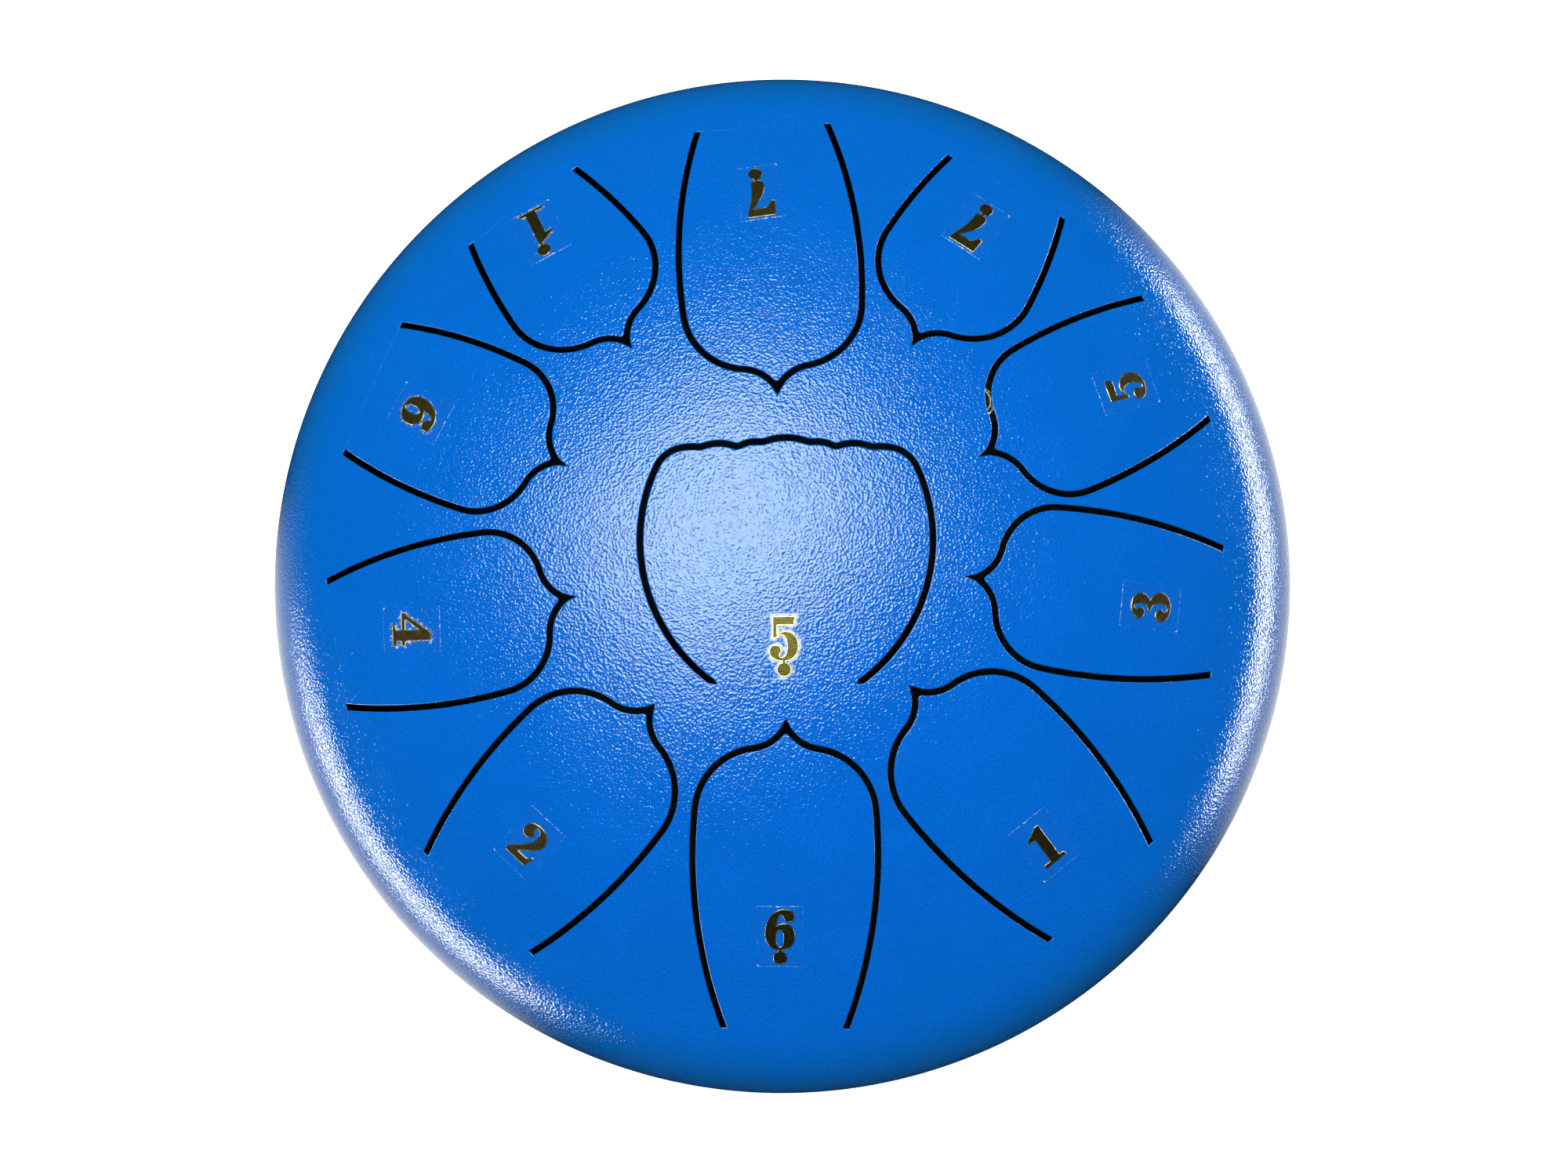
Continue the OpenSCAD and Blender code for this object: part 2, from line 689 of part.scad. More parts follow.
module washers(z) {
  color(steel)
    at_feet()
      translate([0, 0, z])
        difference() {
          cylinder(h = washer_t, d = washer_d, $fn = round_fn);
          screw_bore(screw_clear);
        }
}

// Rubber rings between the shell and the nuts, level on top and sloped to the shell below.
module inner_seats() {
  color(rubber)
    difference() {
      intersection() {
        at_feet()
          cylinder(h = seat_top_z, d = seat_d, $fn = round_fn);
        lower_ball(inner_r);
      }
      at_feet()
        screw_bore(screw_clear);
    }
}

module foot_screws() {
  rim_h = head_rim_share * head_h;
  bulge = head_h - rim_h;
  ball_r = (pow(head_d / 2, 2) + pow(bulge, 2)) / (2 * bulge);
  recess = [recess_length_share * head_d, recess_width_share * head_d];
  recess_h = recess_depth_share * head_h;
  color(steel)
    at_feet() {
      translate([0, 0, head_seat_z])
        cylinder(h = screw_l, d = screw_d, $fn = round_fn);
      translate([0, 0, head_seat_z])
        mirror([0, 0, 1])
          difference() {
            intersection() {
              cylinder(h = head_h, d = head_d, $fn = round_fn);
              translate([0, 0, head_h - ball_r])
                sphere(r = ball_r, $fn = round_fn);
            }
            for (turn = [0, 90])
              rotate(turn)
                translate([-recess[0] / 2, -recess[1] / 2, head_h - recess_h])
                  cube([recess[0], recess[1], recess_h + overrun]);
          }
    }
}

module foot_nuts() {
  color(steel)
    at_feet()
      translate([0, 0, nut_z])
        difference() {
          cylinder(h = nut_h, d = nut_w / cos(30), $fn = 6);
          screw_bore(thread_clear);
        }
}

NOTES = [
  "1", "2", "3", "4", "5", "6", "1_high", "6_low", "7_long", "7_short", "centre"
];
FOOT_NAMES = ["front_right", "back_right", "back_left", "front_left"];

upper_shell();
lower_shell();
weld_seam();
for (i = [0 : CENTRE])
  tongue(i);
for (i = [0 : CENTRE])
  film(i);
for (i = [0 : CENTRE])
  numeral(i);
for (i = [FRONT_RIGHT : FRONT_LEFT])
  foot(i);
foot_screws();
washers(head_seat_z);  // foot_washers
inner_seats();
washers(seat_top_z);  // nut_washers
foot_nuts();
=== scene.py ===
"""Steel tongue drum: its looks, worked out round its CAD frame and laid out as an add-on.

Lengths are metres and angles radians, except in the tables of the drum's drawing, which give
millimetres and degrees. z goes up through the middle of the dome, and the floor is z = 0."""

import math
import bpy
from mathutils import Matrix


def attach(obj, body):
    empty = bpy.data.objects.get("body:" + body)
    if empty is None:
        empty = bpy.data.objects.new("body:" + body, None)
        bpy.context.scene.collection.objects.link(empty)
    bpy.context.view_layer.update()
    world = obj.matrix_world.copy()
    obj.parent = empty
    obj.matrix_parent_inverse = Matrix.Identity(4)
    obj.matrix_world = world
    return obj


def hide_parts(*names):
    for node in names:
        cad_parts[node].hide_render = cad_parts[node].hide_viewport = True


bl_info = {
    "name": "Steel tongue drum",
    "version": (1, 0, 0),
    "blender": (4, 5, 0),
    "location": "3D View > Sidebar > Tongue drum",
    "description": "Builds the painted shells, tongues, note stickers and feet of a tongue drum",
    "category": "Object",
}

import bpy
import numpy as np
from mathutils import Matrix, Vector
from mathutils.geometry import delaunay_2d_cdt

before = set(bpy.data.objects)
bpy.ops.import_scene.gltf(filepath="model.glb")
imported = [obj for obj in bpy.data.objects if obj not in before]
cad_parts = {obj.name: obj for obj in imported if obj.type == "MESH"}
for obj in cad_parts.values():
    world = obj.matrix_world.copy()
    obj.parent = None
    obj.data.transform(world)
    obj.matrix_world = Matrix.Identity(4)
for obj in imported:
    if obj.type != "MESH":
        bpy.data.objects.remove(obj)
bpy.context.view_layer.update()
MM = 0.001

# ---------------------------------------------------------------------------------------------
# Tables of the drum's drawing, in millimetres and degrees
# ---------------------------------------------------------------------------------------------

NOTES = ("1", "2", "3", "4", "5", "6", "1_high", "6_low", "7_long", "7_short", "centre")
# Half width, distance from the widest place to the tip, shoulder radius, reach of the slot's point.
WIDE, NARROW, SHORT = (21.75, 31, 15.7, 1.4), (19.5, 27.6, 13.4, 2.6), (19.3, 17, 15.5, 1.9)
# By note: bearing of the root, of the axis, root distance as a share, length, outline.
TONGUES = (
    (-44.8, -46.4, 0.997, 65.5, WIDE),
    (-132.2, -132.9, 0.984, 62.9, WIDE),
    (-5.2, -6.5, 0.971, 59.1, NARROW),
    (-170.9, -170.5, 0.994, 58.6, NARROW),
    (28.4, 28.4, 1.007, 53.3, NARROW),
    (155.4, 156.6, 1.0, 51.8, NARROW),
    (124.8, 126.6, 1.008, 45.7, SHORT),
    (-89.2, -90.6, 1.001, 71.7, WIDE),
    (92.1, 93.6, 1.004, 68.0, WIDE),
    (59.5, 60.7, 1.006, 46.5, SHORT),
)
# By note: digit, dot above (1) or below (-1), place as a share and a bearing, turn, cloudy rim.
STICKERS = (
    (1, 0, 0.833, -46.0, -6.0, 0.2),
    (2, 0, 0.804, -132.2, -1.0, 0.25),
    (3, 0, 0.817, -5.7, 0.0, 0.2),
    (4, 0, 0.812, -170.8, -8.0, 0.7),
    (5, 0, 0.865, 27.7, -10.0, 0.2),
    (6, 0, 0.866, 156.1, -4.0, 0.6),
    (1, 1, 0.927, 124.9, -7.5, 0.5),
    (6, -1, 0.797, -89.6, -1.0, 0.15),
    (7, -1, 0.84, 92.8, 6.0, 0.2),
    (7, -1, 0.883, 60.2, -4.0, 0.25),
    (5, -1, 0.177, -84.4, -5.0, 1.0),
)
# Numeral outlines as shares of the numeral's height: a pair is a corner, and a row of six is a
# curve, as two handles and its end. Holes follow in the second list.
DIGITS = {
    1: ([(0, 0), (0.56, 0), (0.56, 0.1), (0.43, 0.1), (0.43, 1), (0.33, 1), (0.02, 0.82),
         (0.02, 0.72), (0.17, 0.74), (0.17, 0.1), (0, 0.1)], [], 0.56, 0.38),
    2: ([(0.02, 0), (0.6, 0), (0.68, 0.3), (0.61, 0.3), (0.58, 0.22, 0.54, 0.19, 0.46, 0.19),
         (0.27, 0.19), (0.36, 0.3, 0.67, 0.44, 0.67, 0.72), (0.67, 0.9, 0.52, 1, 0.33, 1),
         (0.14, 1, 0.03, 0.89, 0.03, 0.75), (0.03, 0.65, 0.09, 0.58, 0.18, 0.58),
         (0.27, 0.58, 0.33, 0.64, 0.33, 0.72), (0.33, 0.79, 0.27, 0.8, 0.26, 0.86),
         (0.27, 0.95, 0.42, 0.94, 0.42, 0.75), (0.42, 0.52, 0.2, 0.35, 0.02, 0.14)], [], 0.7, 0),
    3: ([(0.33, 1), (0.16, 1, 0.03, 0.92, 0.03, 0.79), (0.03, 0.7, 0.09, 0.65, 0.17, 0.65),
         (0.24, 0.65, 0.29, 0.7, 0.29, 0.77), (0.29, 0.83, 0.24, 0.85, 0.24, 0.89),
         (0.26, 0.95, 0.37, 0.93, 0.37, 0.78), (0.37, 0.64, 0.33, 0.58, 0.22, 0.57), (0.22, 0.5),
         (0.35, 0.49, 0.41, 0.42, 0.41, 0.27), (0.41, 0.07, 0.26, 0.06, 0.24, 0.13),
         (0.24, 0.17, 0.29, 0.19, 0.29, 0.25), (0.29, 0.32, 0.23, 0.38, 0.14, 0.38),
         (0.06, 0.38, 0, 0.32, 0, 0.23), (0, 0.1, 0.12, 0, 0.32, 0),
         (0.52, 0, 0.67, 0.1, 0.67, 0.28), (0.67, 0.42, 0.59, 0.5, 0.46, 0.54),
         (0.55, 0.58, 0.61, 0.65, 0.61, 0.77), (0.61, 0.9, 0.52, 1, 0.33, 1)], [], 0.67, 0),
    4: ([(0.25, 0), (0.74, 0), (0.74, 0.09), (0.63, 0.12), (0.63, 0.24), (0.74, 0.24),
         (0.74, 0.35), (0.63, 0.35), (0.63, 1), (0.44, 1), (0, 0.35), (0, 0.24), (0.38, 0.24),
         (0.38, 0.12), (0.25, 0.09)], [(0.14, 0.35), (0.38, 0.7), (0.38, 0.35)], 0.74, 0),
    5: ([(0.08, 0.51), (0.16, 0.51), (0.18, 0.55, 0.22, 0.58, 0.27, 0.58),
         (0.33, 0.58, 0.4, 0.52, 0.4, 0.33), (0.4, 0.07, 0.25, 0.06, 0.23, 0.13),
         (0.23, 0.17, 0.28, 0.19, 0.28, 0.24), (0.28, 0.31, 0.22, 0.37, 0.14, 0.37),
         (0.06, 0.37, 0, 0.31, 0, 0.22), (0, 0.1, 0.12, 0, 0.31, 0),
         (0.52, 0, 0.66, 0.13, 0.66, 0.34), (0.66, 0.52, 0.55, 0.67, 0.37, 0.67),
         (0.3, 0.67, 0.24, 0.65, 0.19, 0.6), (0.19, 0.8), (0.56, 0.8), (0.6, 1), (0.08, 1)],
        [], 0.66, 0.33),
    6: ([(0.35, 0), (0.55, 0, 0.685, 0.14, 0.685, 0.34), (0.685, 0.53, 0.58, 0.66, 0.44, 0.66),
         (0.37, 0.66, 0.305, 0.63, 0.27, 0.59), (0.275, 0.7, 0.31, 0.86, 0.37, 0.86),
         (0.44, 0.86, 0.4, 0.69, 0.545, 0.69), (0.62, 0.69, 0.672, 0.75, 0.672, 0.83),
         (0.672, 0.93, 0.57, 1, 0.43, 1), (0.16, 1, 0, 0.7, 0, 0.42),
         (0, 0.16, 0.15, 0, 0.35, 0)],
        [(0.34, 0.09), (0.27, 0.09, 0.255, 0.18, 0.255, 0.29),
         (0.255, 0.4, 0.27, 0.49, 0.345, 0.49), (0.41, 0.49, 0.425, 0.4, 0.425, 0.29),
         (0.425, 0.18, 0.41, 0.09, 0.34, 0.09)], 0.685, 0.35),
    7: ([(0, 0.6), (0.11, 0.585), (0.14, 0.7, 0.2, 0.77, 0.3, 0.77), (0.52, 0.77),
         (0.36, 0.58, 0.2, 0.36, 0.2, 0.14), (0.2, 0.06, 0.24, 0, 0.36, 0),
         (0.44, 0, 0.5, 0.02, 0.5, 0.09), (0.5, 0.5, 0.6, 0.66, 0.68, 0.92), (0.68, 1),
         (0.03, 1)], [], 0.68, 0.36),
}
# Knots of the centre tongue's scallops and the rise of each lobe, as shares.
SCALLOP_X, SCALLOP_DROP = (0.684, 0.59, 0.336, 0.161), (0.95, 1, 1, 0.5)
LOBE_RISE, TOP_RISE = (0.07, 0.42, 0.27), 0.5
FEET = (("front_right", -45), ("back_right", 45), ("back_left", 135), ("front_left", -135))


# ---------------------------------------------------------------------------------------------
# Sizes and colours
# ---------------------------------------------------------------------------------------------


def length(name, text, millimetres):
    """A length that the panel shows, with its default given in millimetres."""
    return bpy.props.FloatProperty(
        name=name, description=text, default=millimetres * MM, min=0, precision=5, unit="LENGTH")


def colour(name, text, value):
    """A colour that the panel shows, as linear red, green and blue."""
    return bpy.props.FloatVectorProperty(
        name=name, description=text, default=value, size=3, min=0, max=1, subtype="COLOR")


class DrumSizes(bpy.types.PropertyGroup):
    """Sizes of the shells and the slots"""

    diameter: length("Diameter", "Width of the drum over its band", 254)
    dome_radius: length("Dome radius", "Radius of the outside of both domes", 239.5)
    shoulder_radius: length("Shoulder radius", "Radius of the turn from dome to band", 27)
    band: length("Half band", "Half the height of the upright band", 9.5)
    wall: length("Wall", "Thickness of the sheet", 1.5)
    floor_gap: length("Floor gap", "Height of the lower dome over the floor", 7)
    sound_hole: length("Sound hole", "Width of the round hole below", 72)
    weld_gap: length("Weld gap", "Gap between the rims that the weld fills", 0.8)
    weld_width: length("Weld width", "Height of the weld bead on the band", 4)
    weld_proud: length("Weld proud", "How far the weld bead stands out", 0.25)
    slot: length("Slot", "Width of the cut round each tongue", 1.45)
    slot_edge: length("Slot edge", "Rounding of the paint along the slots", 0.28)
    root_margin: length("Root margin", "Distance of the root lines from the shoulder", 3.7)
    side_radius: length("Side radius", "Radius of the sides of the outer tongues", 120)
    ogee_radius: length("Ogee radius", "Radius of the hollow curves at the tips", 10)
    tip_round: length("Tip rounding", "Radius of the tips of the tongues", 0.8)
    centre_length: length("Centre length", "Length of the centre tongue", 57.6)
    centre_width: length("Centre width", "Greatest width of the centre tongue", 68.4)
    centre_side: length("Centre side", "Radius of the centre tongue's sides", 41.3)
    centre_widest: length("Centre widest", "Distance from its root to its widest place", 33.8)
    centre_corner: length("Centre corner", "Radius of its top corners", 7.8)
    scallop: length("Scallops", "Depth of the scallops along its top", 2.2)
    centre_root: length("Centre root", "Distance of its root line from the middle", 27.8)
    centre_shift: length("Centre shift", "Sideways distance of its axis from the middle", 2.4)


class StickerSizes(bpy.types.PropertyGroup):
    """Sizes of the note stickers"""

    film_width: length("Film width", "Width of the clear film", 10.8)
    film_length: length("Film length", "Length of the clear film", 15.5)
    film: length("Film thickness", "Thickness of the clear film", 0.1)
    film_corner: length("Film corner", "Rounding of the film's corners", 0.35)
    height: length("Numeral height", "Height of a foil numeral", 10.5)
    foil: length("Foil thickness", "Thickness of the foil", 0.2)
    rim: length("Foil rim", "Width of the raised bright rim round a numeral", 0.16)
    soft: length("Numeral corners", "Rounding of a numeral's corners", 0.12)
    dot: length("Dot", "Width of an octave dot", 3.4)
    dot_gap: length("Dot gap", "Gap between a numeral and its dot", 0.2)
    neck: length("Dot neck", "Width of the neck between a numeral and its dot", 0.9)


class FootSizes(bpy.types.PropertyGroup):
    """Sizes of the feet and their fasteners"""

    distance: length("Distance", "Distance of each foot from the middle", 74)
    base: length("Base", "Width of a foot at the floor", 21)
    top: length("Top", "Width of a foot at the shell", 25)
    edge: length("Edge", "Rounding of a foot's lower edge", 2)
    hollow: length("Hollow", "Depth of the hollow for the screw head", 8)
    hollow_width: length("Hollow width", "Width of that hollow", 9.8)
    screw: length("Screw", "Diameter of the screw", 4)
    screw_length: length("Screw length", "Length of the screw under its head", 22)
    head: length("Head", "Width of the screw's round head", 8)
    head_height: length("Head height", "Height of the head", 3.1)
    pitch: length("Pitch", "Rise of the screw's thread in one turn", 0.7)
    washer: length("Washer", "Width of the washers", 9)
    washer_thickness: length("Washer thickness", "Thickness of the washers", 0.8)
    nut: length("Nut", "Width of the nut across its flats", 7)
    nut_height: length("Nut height", "Height of the nut", 3.2)
    seat: length("Seat", "Width of the rubber seat inside the shell", 14)
    seat_thickness: length("Seat thickness", "Least thickness of that seat", 1)
    clear: length("Clearance", "Clearance round the screw", 0.2)


class DrumFinish(bpy.types.PropertyGroup):
    """Colours of the drum and the stage"""

    paint: colour("Paint", "Blue powder coat", (0.0008, 0.125, 0.6))
    # Painted sheen: the cyan tint that the paint takes where it is seen edge-on.
    painted_edge_sheen: colour("Paint, edge on", "Powder coat where it turns away", (0.0008, 0.2, 0.58))
    # Dark primer inside the shells and down the slots' walls: partly the sheet's own primer, partly
    # painted shade that keeps the slots black.
    inside: colour("Inside", "Dark primer inside the shells", (0.006, 0.007, 0.01))
    # The face of a numeral shows only a small share of the foil colour, a painted shade; the rim
    # colour is a brighter copy, a painted highlight.
    foil: colour("Foil", "Pale gold foil", (0.6, 0.47, 0.2))
    painted_rim_highlight: colour("Foil rim", "Bright rim of the foil numerals", (0.55, 0.46, 0.27))
    rubber: colour("Rubber", "Black rubber", (0.022, 0.022, 0.025))
    scuffs: colour("Scuffs", "Pale scuffs low on the rubber", (0.09, 0.09, 0.09))
    zinc: colour("Zinc", "Zinc-plated steel", (0.62, 0.63, 0.65))
    film: colour("Film", "Tint of the clear film", (0.03, 0.2, 0.68))
    # The cloud colour also paints the pale glints along the films' cut edges, a painted highlight.
    cloud: colour("Film cloud", "Milky air under the film", (0.6, 0.7, 0.88))
    floor: colour("Floor", "Pale floor", (0.82, 0.82, 0.86))
    studio_low: colour("Studio, low", "Surroundings near the floor", (0.03, 0.032, 0.036))
    studio_high: colour("Studio, high", "Surroundings overhead", (0.02, 0.023, 0.03))


# ---------------------------------------------------------------------------------------------
# Lines in the plane
# ---------------------------------------------------------------------------------------------

SAME_POINT = 1e-6  # nearer neighbours on an outline count as one point
SHARPEST = 0.25  # least 1 + n1.n2 in an offset, which limits the move of a sharp corner
ROUND_SHARE = 0.45  # greatest share of a side that one rounded corner takes
CURVE_STEPS = 10  # sides of each curve in a numeral's outline
HELD = 1e-7  # how far filling may move an outline's point
NET_CELL = 0.55  # width, in steps of a net, of the cells that keep it off its outlines
CELL_ROW = 100003  # cells counted to a row of that grid
CUT_MARGIN = 1e-9  # how near the triangulation takes two points as one
LEAST_AREA = 1e-14  # twice the area of a triangle that counts as none
TINY = 1e-12  # least length divided by


def polar(angle):
    """Unit vectors (cos a, sin a) for the given angles."""
    return np.stack([np.cos(angle), np.sin(angle)], -1)


def bearing(v):
    """The angle of a plane vector."""
    return math.atan2(v[1], v[0])


def arc(centre, radius, start, end, step):
    """Points centre + radius (cos a, sin a), with a even from start to end about a step apart."""
    count = max(3, math.ceil(abs(end - start) * radius / step))
    return np.asarray(centre) + radius * polar(np.linspace(start, end, count + 1))


def meet(c0, r0, c1, r1):
    """The point at r0 from c0 and r1 from c1, on the left of the way from c0 to c1."""
    way = c1 - c0
    far = np.hypot(*way)
    along = (r0 * r0 - r1 * r1 + far * far) / (2 * far)
    way = way / far
    return c0 + along * way + math.sqrt(r0 * r0 - along * along) * np.array([-way[1], way[0]])


def distinct(points):
    """A closed outline without the points that repeat their neighbour."""
    gap = np.hypot(*(points - np.roll(points, 1, 0)).T)
    return points[gap > SAME_POINT]


def inward(outline):
    """How far each point of a closed outline moves for an offset of one to the left.

    With the left normals n1 and n2 of the sides that meet there it is (n1 + n2) / (1 + n1.n2)."""
    side = np.roll(outline, -1, 0) - outline
    side = side / np.hypot(*side.T)[:, None]
    normal = np.stack([-side[:, 1], side[:, 0]], -1)
    before = np.roll(normal, 1, 0)
    return (normal + before) / np.maximum(1 + (normal * before).sum(1), SHARPEST)[:, None]


def turns(count):
    """Angles of one full turn in even steps."""
    return np.linspace(0, 2 * math.pi, count, endpoint=False)


def turned(points, angle, origin=(0, 0)):
    """Plane points turned about the origin and then moved."""
    c, s = math.cos(angle), math.sin(angle)
    return points @ np.array([[c, s], [-s, c]]) + np.asarray(origin)


def rounded(corners, radius, steps=4):
    """A closed outline whose corners are curves: each corner P gives (1-s)^2 A + 2s(1-s) P + s^2 B
    between the points A and B that lie a radius, or a share of the side, before and after it."""
    corners = np.asarray(corners, float)
    radius = np.broadcast_to(np.asarray(radius, float), len(corners))[:, None]
    reach = []
    for other in (np.roll(corners, 1, 0), np.roll(corners, -1, 0)):
        way = other - corners
        far = np.hypot(*way.T)[:, None]
        reach.append(corners + way / far * np.minimum(radius, ROUND_SHARE * far))
    s = np.linspace(0, 1, steps + 1)[None, :, None]
    a, p, b = reach[0][:, None], corners[:, None], reach[1][:, None]
    return distinct(((1 - s) ** 2 * a + 2 * s * (1 - s) * p + s * s * b).reshape(-1, 2))


def drawn(rows):
    """A closed outline of corners and curves: (1-t)^3 P + 3t(1-t)^2 H1 + 3t^2(1-t) H2 + t^3 Q."""
    ends = [np.array(row[-2:], float) for row in rows]
    t = np.linspace(0, 1, CURVE_STEPS + 1)[1:, None]
    parts = []
    for before, row, end in zip([ends[-1]] + ends[:-1], rows, ends):
        if len(row) == 2:
            parts.append(end[None])
        else:
            h1, h2 = np.array(row[:2]), np.array(row[2:4])
            parts.append((1 - t) ** 3 * before + 3 * t * (1 - t) ** 2 * h1
                         + 3 * t * t * (1 - t) * h2 + t ** 3 * end)
    return distinct(np.concatenate(parts))


def inside(points, outline):
    """Which points lie in a closed outline, by counting the sides that a ray along +x crosses."""
    low, high = outline.min(0), outline.max(0)
    found = np.all((points > low) & (points < high), axis=1)
    x, y = points[found, :1], points[found, 1:]
    a, b = outline, np.roll(outline, -1, 0)
    cross = (a[:, 1] > y) != (b[:, 1] > y)
    rise = np.where(b[:, 1] == a[:, 1], 1, b[:, 1] - a[:, 1])
    at = a[:, 0] + (y - a[:, 1]) * (b[:, 0] - a[:, 0]) / rise
    found[found] = (cross & (x < at)).sum(1) % 2 == 1
    return found


def covered(points, shapes):
    """Which points lie in one of the shapes, each an outline and its holes."""
    found = np.zeros(len(points), bool)
    for outer, *holes in shapes:
        here = inside(points, outer)
        for hole in holes:
            here &= ~inside(points, hole)
        found |= here
    return found


def filled(outlines, spacing):
    """Points and triangles that fill the first outline less the others, whose points come first."""
    points, triangles = net(outlines, spacing, lambda p: covered(p, [outlines]))
    border = np.concatenate(outlines)
    if np.abs(points[:len(border)] - border).max() > HELD:
        raise RuntimeError("an outline crosses or touches itself")
    return points, triangles


def cells(points, size):
    """The number of the square cell that each plane point lies in."""
    place = np.round(points / size).astype(int)
    return place[..., 0] * CELL_ROW + place[..., 1]


def net(outlines, spacing, within):
    """Points and triangles of a net whose triangles keep to the outlines' sides and lie within.

    The inner points are a triangular net, each odd row shifted by half a step, without those
    whose cell is that of an outline's point or beside it."""
    border = np.concatenate(outlines)
    low, high = border.min(0), border.max(0)
    rise = spacing * math.sqrt(3) / 2
    row, column = np.meshgrid(np.arange((high[1] - low[1]) / rise + 1),
                              np.arange((high[0] - low[0]) / spacing + 1), indexing="ij")
    grid = np.stack([low[0] + (column + 0.5 * (row % 2)) * spacing, low[1] + row * rise], -1)
    grid = grid.reshape(-1, 2)
    cell = NET_CELL * spacing
    shifts = [cell * np.array([i, j]) for i in (-1, 0, 1) for j in (-1, 0, 1)]
    taken = np.concatenate([cells(border + shift, cell) for shift in shifts])
    grid = grid[within(grid) & ~np.isin(cells(grid, cell), taken)]
    points = np.concatenate([border, grid])
    edges, start = [], 0
    for outline in outlines:
        index = start + np.arange(len(outline))
        edges.append(np.stack([index, np.roll(index, -1)], -1))
        start += len(outline)
    found = delaunay_2d_cdt([Vector(p) for p in points.tolist()],
                            np.concatenate(edges).tolist(), [], 0, CUT_MARGIN)
    # Which point given each point found was; points that the cuts added come after the others.
    origin = np.array([ids[0] if ids else -1 for ids in found[3]])
    origin[origin < 0] = len(points) + np.arange((origin < 0).sum())
    points = np.concatenate([points, np.zeros((origin.max() + 1 - len(points), 2))])
    points[origin] = np.array(found[0])
    triangles = origin[np.array(found[2])]
    a, b, c = (points[triangles[:, k]] for k in range(3))
    ab, ac = (b - a).T, (c - a).T
    area = ab[0] * ac[1] - ab[1] * ac[0]
    triangles[area < 0] = triangles[area < 0][:, ::-1]
    return points, triangles[within((a + b + c) / 3) & (np.abs(area) > LEAST_AREA)]


# ---------------------------------------------------------------------------------------------
# Surfaces in space
# ---------------------------------------------------------------------------------------------

WELD_CELL = 2e-7  # corners in one cell of this width become one vertex
CELL_BITS = 21  # bits for each coordinate of such a cell
STICKER_UV = 100  # units of the stickers' UV map to a metre


def turn_z(angle):
    """Rotation matrix about z."""
    return np.array(Matrix.Rotation(angle, 3, "Z"))


def turn_y(angle):
    """Rotation matrix about y."""
    return np.array(Matrix.Rotation(angle, 3, "Y"))


class Ground:
    """A ball that a plate is drawn on, seen square from above in a frame of its own.

    A plane point (x, y) at a height h over the ball becomes
    origin + turn (x, y, centre + sqrt((radius + h)^2 - x^2 - y^2))."""

    def __init__(self, radius, centre, origin, turn):
        self.radius, self.centre = radius, centre
        self.origin, self.turn = np.asarray(origin, float), np.asarray(turn, float)

    def place(self, local):
        """Points of the frame in space."""
        return self.origin + local @ self.turn.T

    def plan(self, points):
        """Points in space as places in the frame's plane."""
        return ((points - self.origin) @ self.turn)[:, :2]

    def lift(self, plane, height):
        """Points in space and the ball's outward normals there."""
        height = np.broadcast_to(np.asarray(height, float), len(plane))
        rise = np.sqrt((self.radius + height) ** 2 - (plane ** 2).sum(1))
        local = np.column_stack([plane, rise])
        normal = local / np.sqrt((local ** 2).sum(1))[:, None]
        return self.place(local + [0, 0, self.centre]), normal @ self.turn.T

    def side(self, plane):
        """Plane directions as unit vectors in space."""
        local = np.column_stack([plane, np.zeros(len(plane))])
        return local / np.maximum(np.hypot(*plane.T), TINY)[:, None] @ self.turn.T


